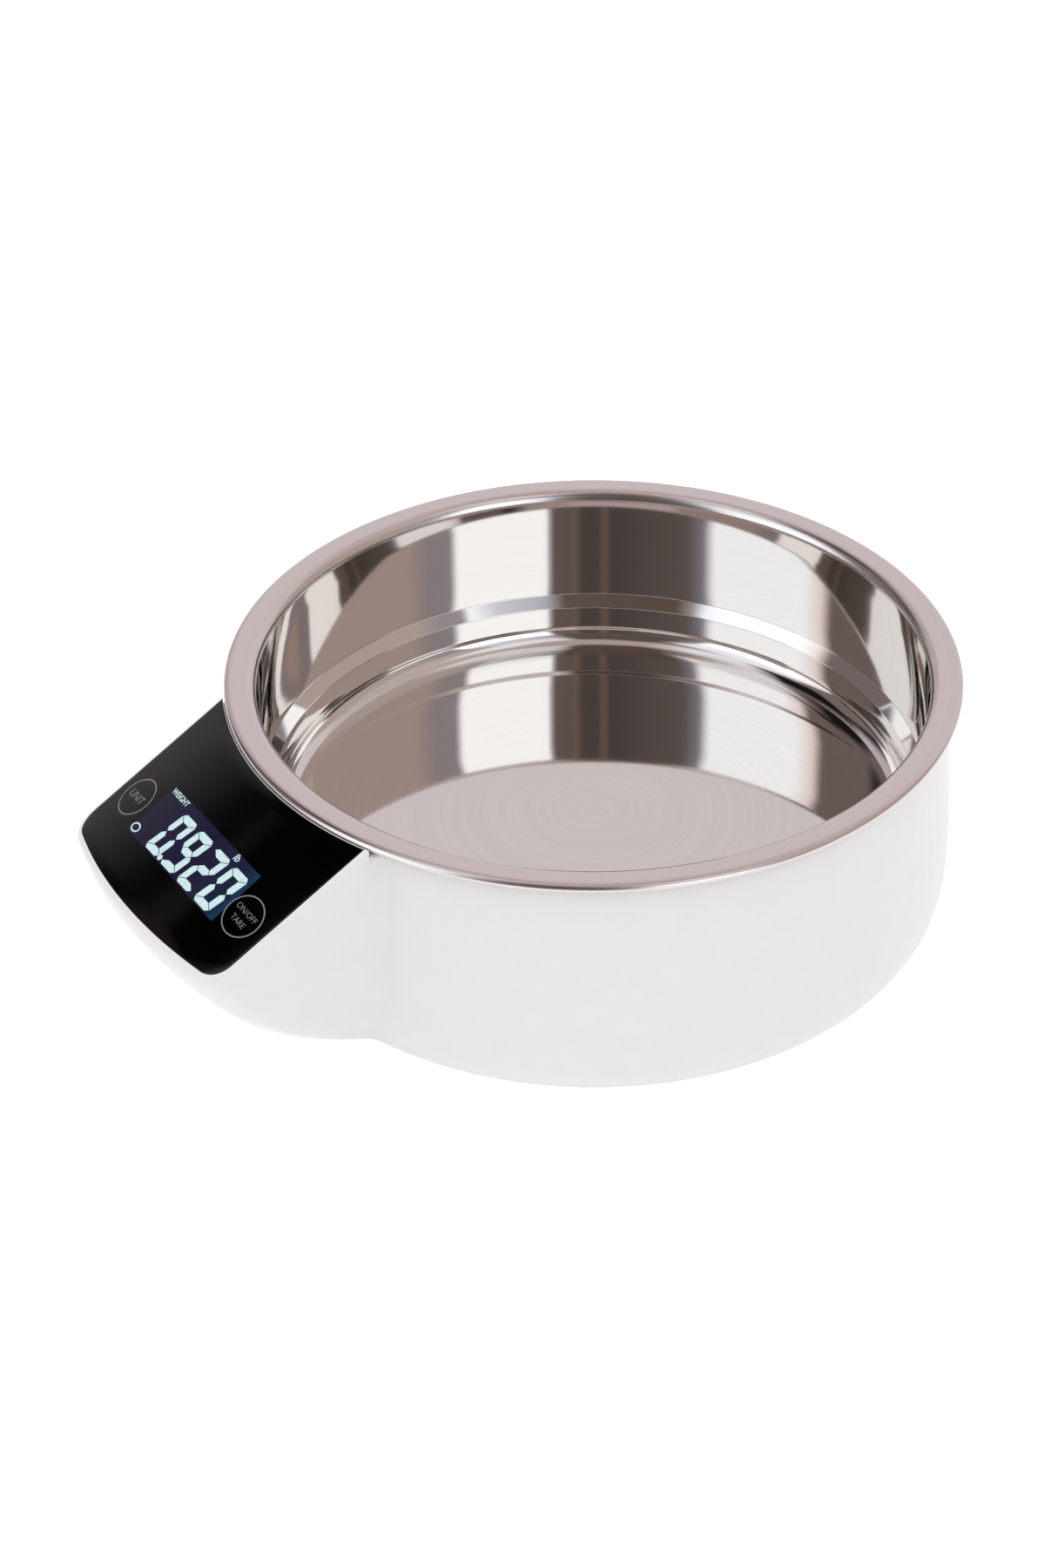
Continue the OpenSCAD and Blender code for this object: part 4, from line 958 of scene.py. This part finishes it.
def studio_world(strength):
    """White panels and dark gaps round the table, for whatever mirrors them.

    Matt surfaces get an even sky instead, and the camera sees plain white.
    """
    world = bpy.data.worlds.new("studio")
    world.use_nodes = True
    tree = world.node_tree
    tree.nodes.clear()
    split = node(tree, "SeparateXYZ", {0: node(tree, "TexCoord").outputs["Generated"]})
    x, y, z = (split.outputs[k] for k in "XYZ")
    back = node(tree, "Math", {0: y, 1: -1.0}, operation="MULTIPLY").outputs[0]
    turn = node(tree, "Math", {0: x, 1: back}, operation="ARCTAN2").outputs[0]
    ends = {"Value": turn, "From Min": -pi, "From Max": pi}
    share = node(tree, "MapRange", ends).outputs[0]
    # Tones in hundredths.
    pale, beige, shadow = (72, 66.5, 69), (48.5, 40.5, 37.5), (20, 16, 16)
    black, line, grey = (9.5, 8, 7.8), (23, 16, 13.5), (35, 33, 36)
    white, second, haze = (142, 153, 160), (131, 144, 152), (57, 49, 48)
    dark, dun, panel = (1, 1, 1), (54, 46, 46), (12, 9, 8.5)
    behind = (55, 48, 46)
    # What stands round the table in each direction, in degrees.
    around = [
        (-180, beige), (-172, pale), (-108, pale), (-97, haze), (-86, (56, 50, 53)),
        (-79, (52, 47, 51)), (-73, (26, 23, 26)), (-68, (6, 6, 6)),
        (-64, (3, 3, 3)), (-58, shadow), (-33, shadow), (-28, (110, 100, 100)),
        (-20, second), (16, second), (20, (27, 27, 33)), (26, (14, 12.5, 12)),
        (50, black), (54, black), (55.5, line), (57, black), (64, black), (65.5, line),
        (67, (15, 12.5, 12)), (74, (17, 14.5, 13)), (76, white), (108, white),
        (110.5, grey), (120, (35, 32, 34)), (128, beige), (180, beige),
    ]
    ledge = [
        (-180, behind), (-160, (64, 56, 58)), (-110, (60, 53, 54)),
        (-86, (42, 35, 36)), (-78, (12, 11, 12)), (-68, dark), (-45, dark),
        (-38, shadow), (-28, (99, 103, 112)), (14, (103, 107, 113)),
        (20, (36, 31, 33)), (26, (12, 8.5, 7)), (71, (13, 10, 8.5)),
        (79, (53, 54, 60)), (87, (62, 64, 72)), (106, (75, 79, 86)),
        (112, (50, 44, 43)), (140, (56, 50, 48)), (180, behind),
    ]
    upper = [
        (-180, haze), (-90, dun), (-76, (78, 78, 82)), (-30, (97, 98, 105)),
        (0, (44, 38, 38)), (24, panel), (70, panel), (82, (88, 86, 87)),
        (135, (97, 98, 102)), (160, dun), (180, haze),
    ]
    sky, low, high = (
        ramp(tree, share, [((a + 180) / 360, shade(tone, 0.01)) for a, tone in stops])
        for stops in (around, ledge, upper)
    )
    overhead, even_tone = (0.47, 0.39, 0.38, 1), (0.76, 0.75, 0.755, 1)
    # Each belt takes over from the one below it between two heights.
    for start, end, tone in ((0.66, 0.70, low), (0.86, 0.91, high), (0.965, 0.99, overhead)):
        rise = node(tree, "MapRange", {"Value": z, "From Min": start, "From Max": end}).outputs[0]
        sky = node(tree, "Mix", {0: rise, 6: sky, 7: tone}, data_type="RGBA").outputs[2]
    seen = node(tree, "Background", {"Color": sky, "Strength": strength})
    plain = node(tree, "Background", {"Color": (1, 1, 1, 1), "Strength": 1.0})
    even = node(tree, "Background", {"Color": even_tone, "Strength": strength})
    ray = node(tree, "LightPath").outputs
    for kind, other in (("Is Diffuse Ray", even), ("Is Camera Ray", plain)):
        parts = {0: ray[kind], 1: seen.outputs[0], 2: other.outputs[0]}
        seen = node(tree, "MixShader", parts)
    node(tree, "OutputWorld", {0: seen.outputs[0]})
    bpy.context.scene.world = world


def make_light(strength):
    """A large soft light overhead that leaves no mirror image in the steel."""
    width, height, power = 2.4, 1.7, 8
    data = bpy.data.lights.new("studio_top", "AREA")
    data.shape, data.size, data.energy = "DISK", width, power * strength
    light = bpy.data.objects.new("studio_top", data)
    light.location = (0, 0, height)
    light.visible_glossy = False
    bpy.context.scene.collection.objects.link(light)


def make_floor():
    """White paper under the scale, brighter to the camera than to the scale."""
    half, n, drop, glow, more = 6.0, 24, 0.05 * MM, 0.20, 0.32
    line = [half * (2 * k / n - 1) for k in range(n + 1)]
    rows = [[(x, y, -drop) for x in line] for y in line]
    verts, faces = loft(rows, closed=False, wrap=False)
    mesh = bpy.data.meshes.new("studio_floor")
    mesh.from_pydata(verts, [], faces)
    floor = bpy.data.objects.new("studio_floor", mesh)
    bpy.context.scene.collection.objects.link(floor)
    made, tree, shader = finish("white_paper", (0.93, 0.93, 0.93), 0.9)
    place, dark, light = object_place(tree), (0.925, 0.925, 0.925), (0.935, 0.935, 0.935)
    vary(tree, shader, place, 30 * MM, dark, light, (0.85, 0.95), 0.01 * MM)
    shader.inputs["Emission Color"].default_value = (1, 1, 1, 1)
    ray = node(tree, "LightPath").outputs["Is Camera Ray"]
    strength = node(tree, "Math", {0: ray, 1: more, 2: glow}, operation="MULTIPLY_ADD")
    tree.links.new(strength.outputs[0], shader.inputs["Emission Strength"])
    mesh.materials.append(made)


def make_camera(s):
    """A camera that looks a little aside from its target, to set the scale in the picture."""
    target = Vector((0, 0, 78.5 * MM))
    aside = Euler([radians(a) for a in (-1.473, 0.503, 0.761)])
    data = bpy.data.cameras.new("studio_camera")
    data.lens, data.sensor_width, data.clip_end = s.focal, 36, 50
    camera = bpy.data.objects.new("studio_camera", data)
    bpy.context.scene.collection.objects.link(camera)
    flat = cos(s.elevation)
    away = Vector((sin(s.azimuth) * flat, -cos(s.azimuth) * flat, sin(s.elevation)))
    camera.location = target + s.distance * away
    tilt = pi / 2 - s.elevation + aside.x
    camera.rotation_euler = (tilt, aside.y, s.azimuth + aside.z)
    bpy.context.scene.camera = camera


# ---- operators ----


class KITCHENSCALE_OT_bowl(bpy.types.Operator):
    """Spin the steel bowl with its rolled edge, pressed step and turned floor"""

    bl_idname = "kitchen_scale.bowl"
    bl_label = "Bowl"

    def execute(self, context):
        model_bowl(context.scene.scale_bowl)
        return {"FINISHED"}


class KITCHENSCALE_OT_housing(bpy.types.Operator):
    """Shape the white housing with its display tongue"""

    bl_idname = "kitchen_scale.housing"
    bl_label = "Housing"

    def execute(self, context):
        model_housing(context.scene.scale_housing, context.scene.scale_display)
        return {"FINISHED"}


class KITCHENSCALE_OT_lens(bpy.types.Operator):
    """Shape the arched black lens"""

    bl_idname = "kitchen_scale.lens"
    bl_label = "Lens"

    def execute(self, context):
        model_lens(context.scene.scale_housing, context.scene.scale_display)
        return {"FINISHED"}


class KITCHENSCALE_OT_readout(bpy.types.Operator):
    """Light the readout's figures and tags"""

    bl_idname = "kitchen_scale.readout"
    bl_label = "Readout"

    def execute(self, context):
        model_readout(context.scene.scale_housing, context.scene.scale_display)
        return {"FINISHED"}


class KITCHENSCALE_OT_keys(bpy.types.Operator):
    """Print the rings and legends of the touch keys"""

    bl_idname = "kitchen_scale.keys"
    bl_label = "Keys"

    def execute(self, context):
        model_keys(context.scene.scale_housing, context.scene.scale_display)
        return {"FINISHED"}


class KITCHENSCALE_OT_well(bpy.types.Operator):
    """Finish the platform, the deck and the load cell under the bowl"""

    bl_idname = "kitchen_scale.well"
    bl_label = "Well"

    def execute(self, context):
        dress_well()
        return {"FINISHED"}


class KITCHENSCALE_OT_underside(bpy.types.Operator):
    """Finish the base, the feet, the battery door and what it covers"""

    bl_idname = "kitchen_scale.underside"
    bl_label = "Underside"

    def execute(self, context):
        dress_underside()
        return {"FINISHED"}


class KITCHENSCALE_OT_electronics(bpy.types.Operator):
    """Finish the display module, the board and the leads"""

    bl_idname = "kitchen_scale.electronics"
    bl_label = "Electronics"

    def execute(self, context):
        dress_electronics()
        return {"FINISHED"}


class KITCHENSCALE_OT_studio(bpy.types.Operator):
    """Set the floor, the light and the camera"""

    bl_idname = "kitchen_scale.studio"
    bl_label = "Studio"

    def execute(self, context):
        settings = context.scene.scale_studio
        studio_world(settings.exposure)
        make_light(settings.exposure)
        make_floor()
        make_camera(settings)
        context.scene.view_settings.view_transform = "Standard"
        return {"FINISHED"}


class KITCHENSCALE_PT_tools(bpy.types.Panel):
    """Settings and steps of the kitchen scale"""

    bl_label = "Kitchen Scale"
    bl_space_type = "VIEW_3D"
    bl_region_type = "UI"
    bl_category = "Kitchen Scale"

    def draw(self, context):
        for step in STEPS:
            self.layout.operator(step.bl_idname)
        for name in SETTINGS:
            box = self.layout.box()
            group = getattr(context.scene, name)
            for key in group.bl_rna.properties.keys():
                if key not in {"rna_type", "name"}:
                    box.prop(group, key)


SETTINGS = {
    "scale_bowl": BowlSettings,
    "scale_housing": HousingSettings,
    "scale_display": DisplaySettings,
    "scale_studio": StudioSettings,
}
STEPS = (
    KITCHENSCALE_OT_studio,
    KITCHENSCALE_OT_housing,
    KITCHENSCALE_OT_bowl,
    KITCHENSCALE_OT_lens,
    KITCHENSCALE_OT_readout,
    KITCHENSCALE_OT_keys,
    KITCHENSCALE_OT_well,
    KITCHENSCALE_OT_underside,
    KITCHENSCALE_OT_electronics,
)
CLASSES = (*SETTINGS.values(), *STEPS, KITCHENSCALE_PT_tools)


def register():
    for made in CLASSES:
        bpy.utils.register_class(made)
    for name, kind in SETTINGS.items():
        setattr(bpy.types.Scene, name, bpy.props.PointerProperty(type=kind))


def unregister():
    for name in SETTINGS:
        delattr(bpy.types.Scene, name)
    for made in reversed(CLASSES):
        bpy.utils.unregister_class(made)


def main():
    register()
    for step in STEPS:
        getattr(bpy.ops.kitchen_scale, step.bl_idname.split(".")[1])()


if __name__ == "__main__":
    main()
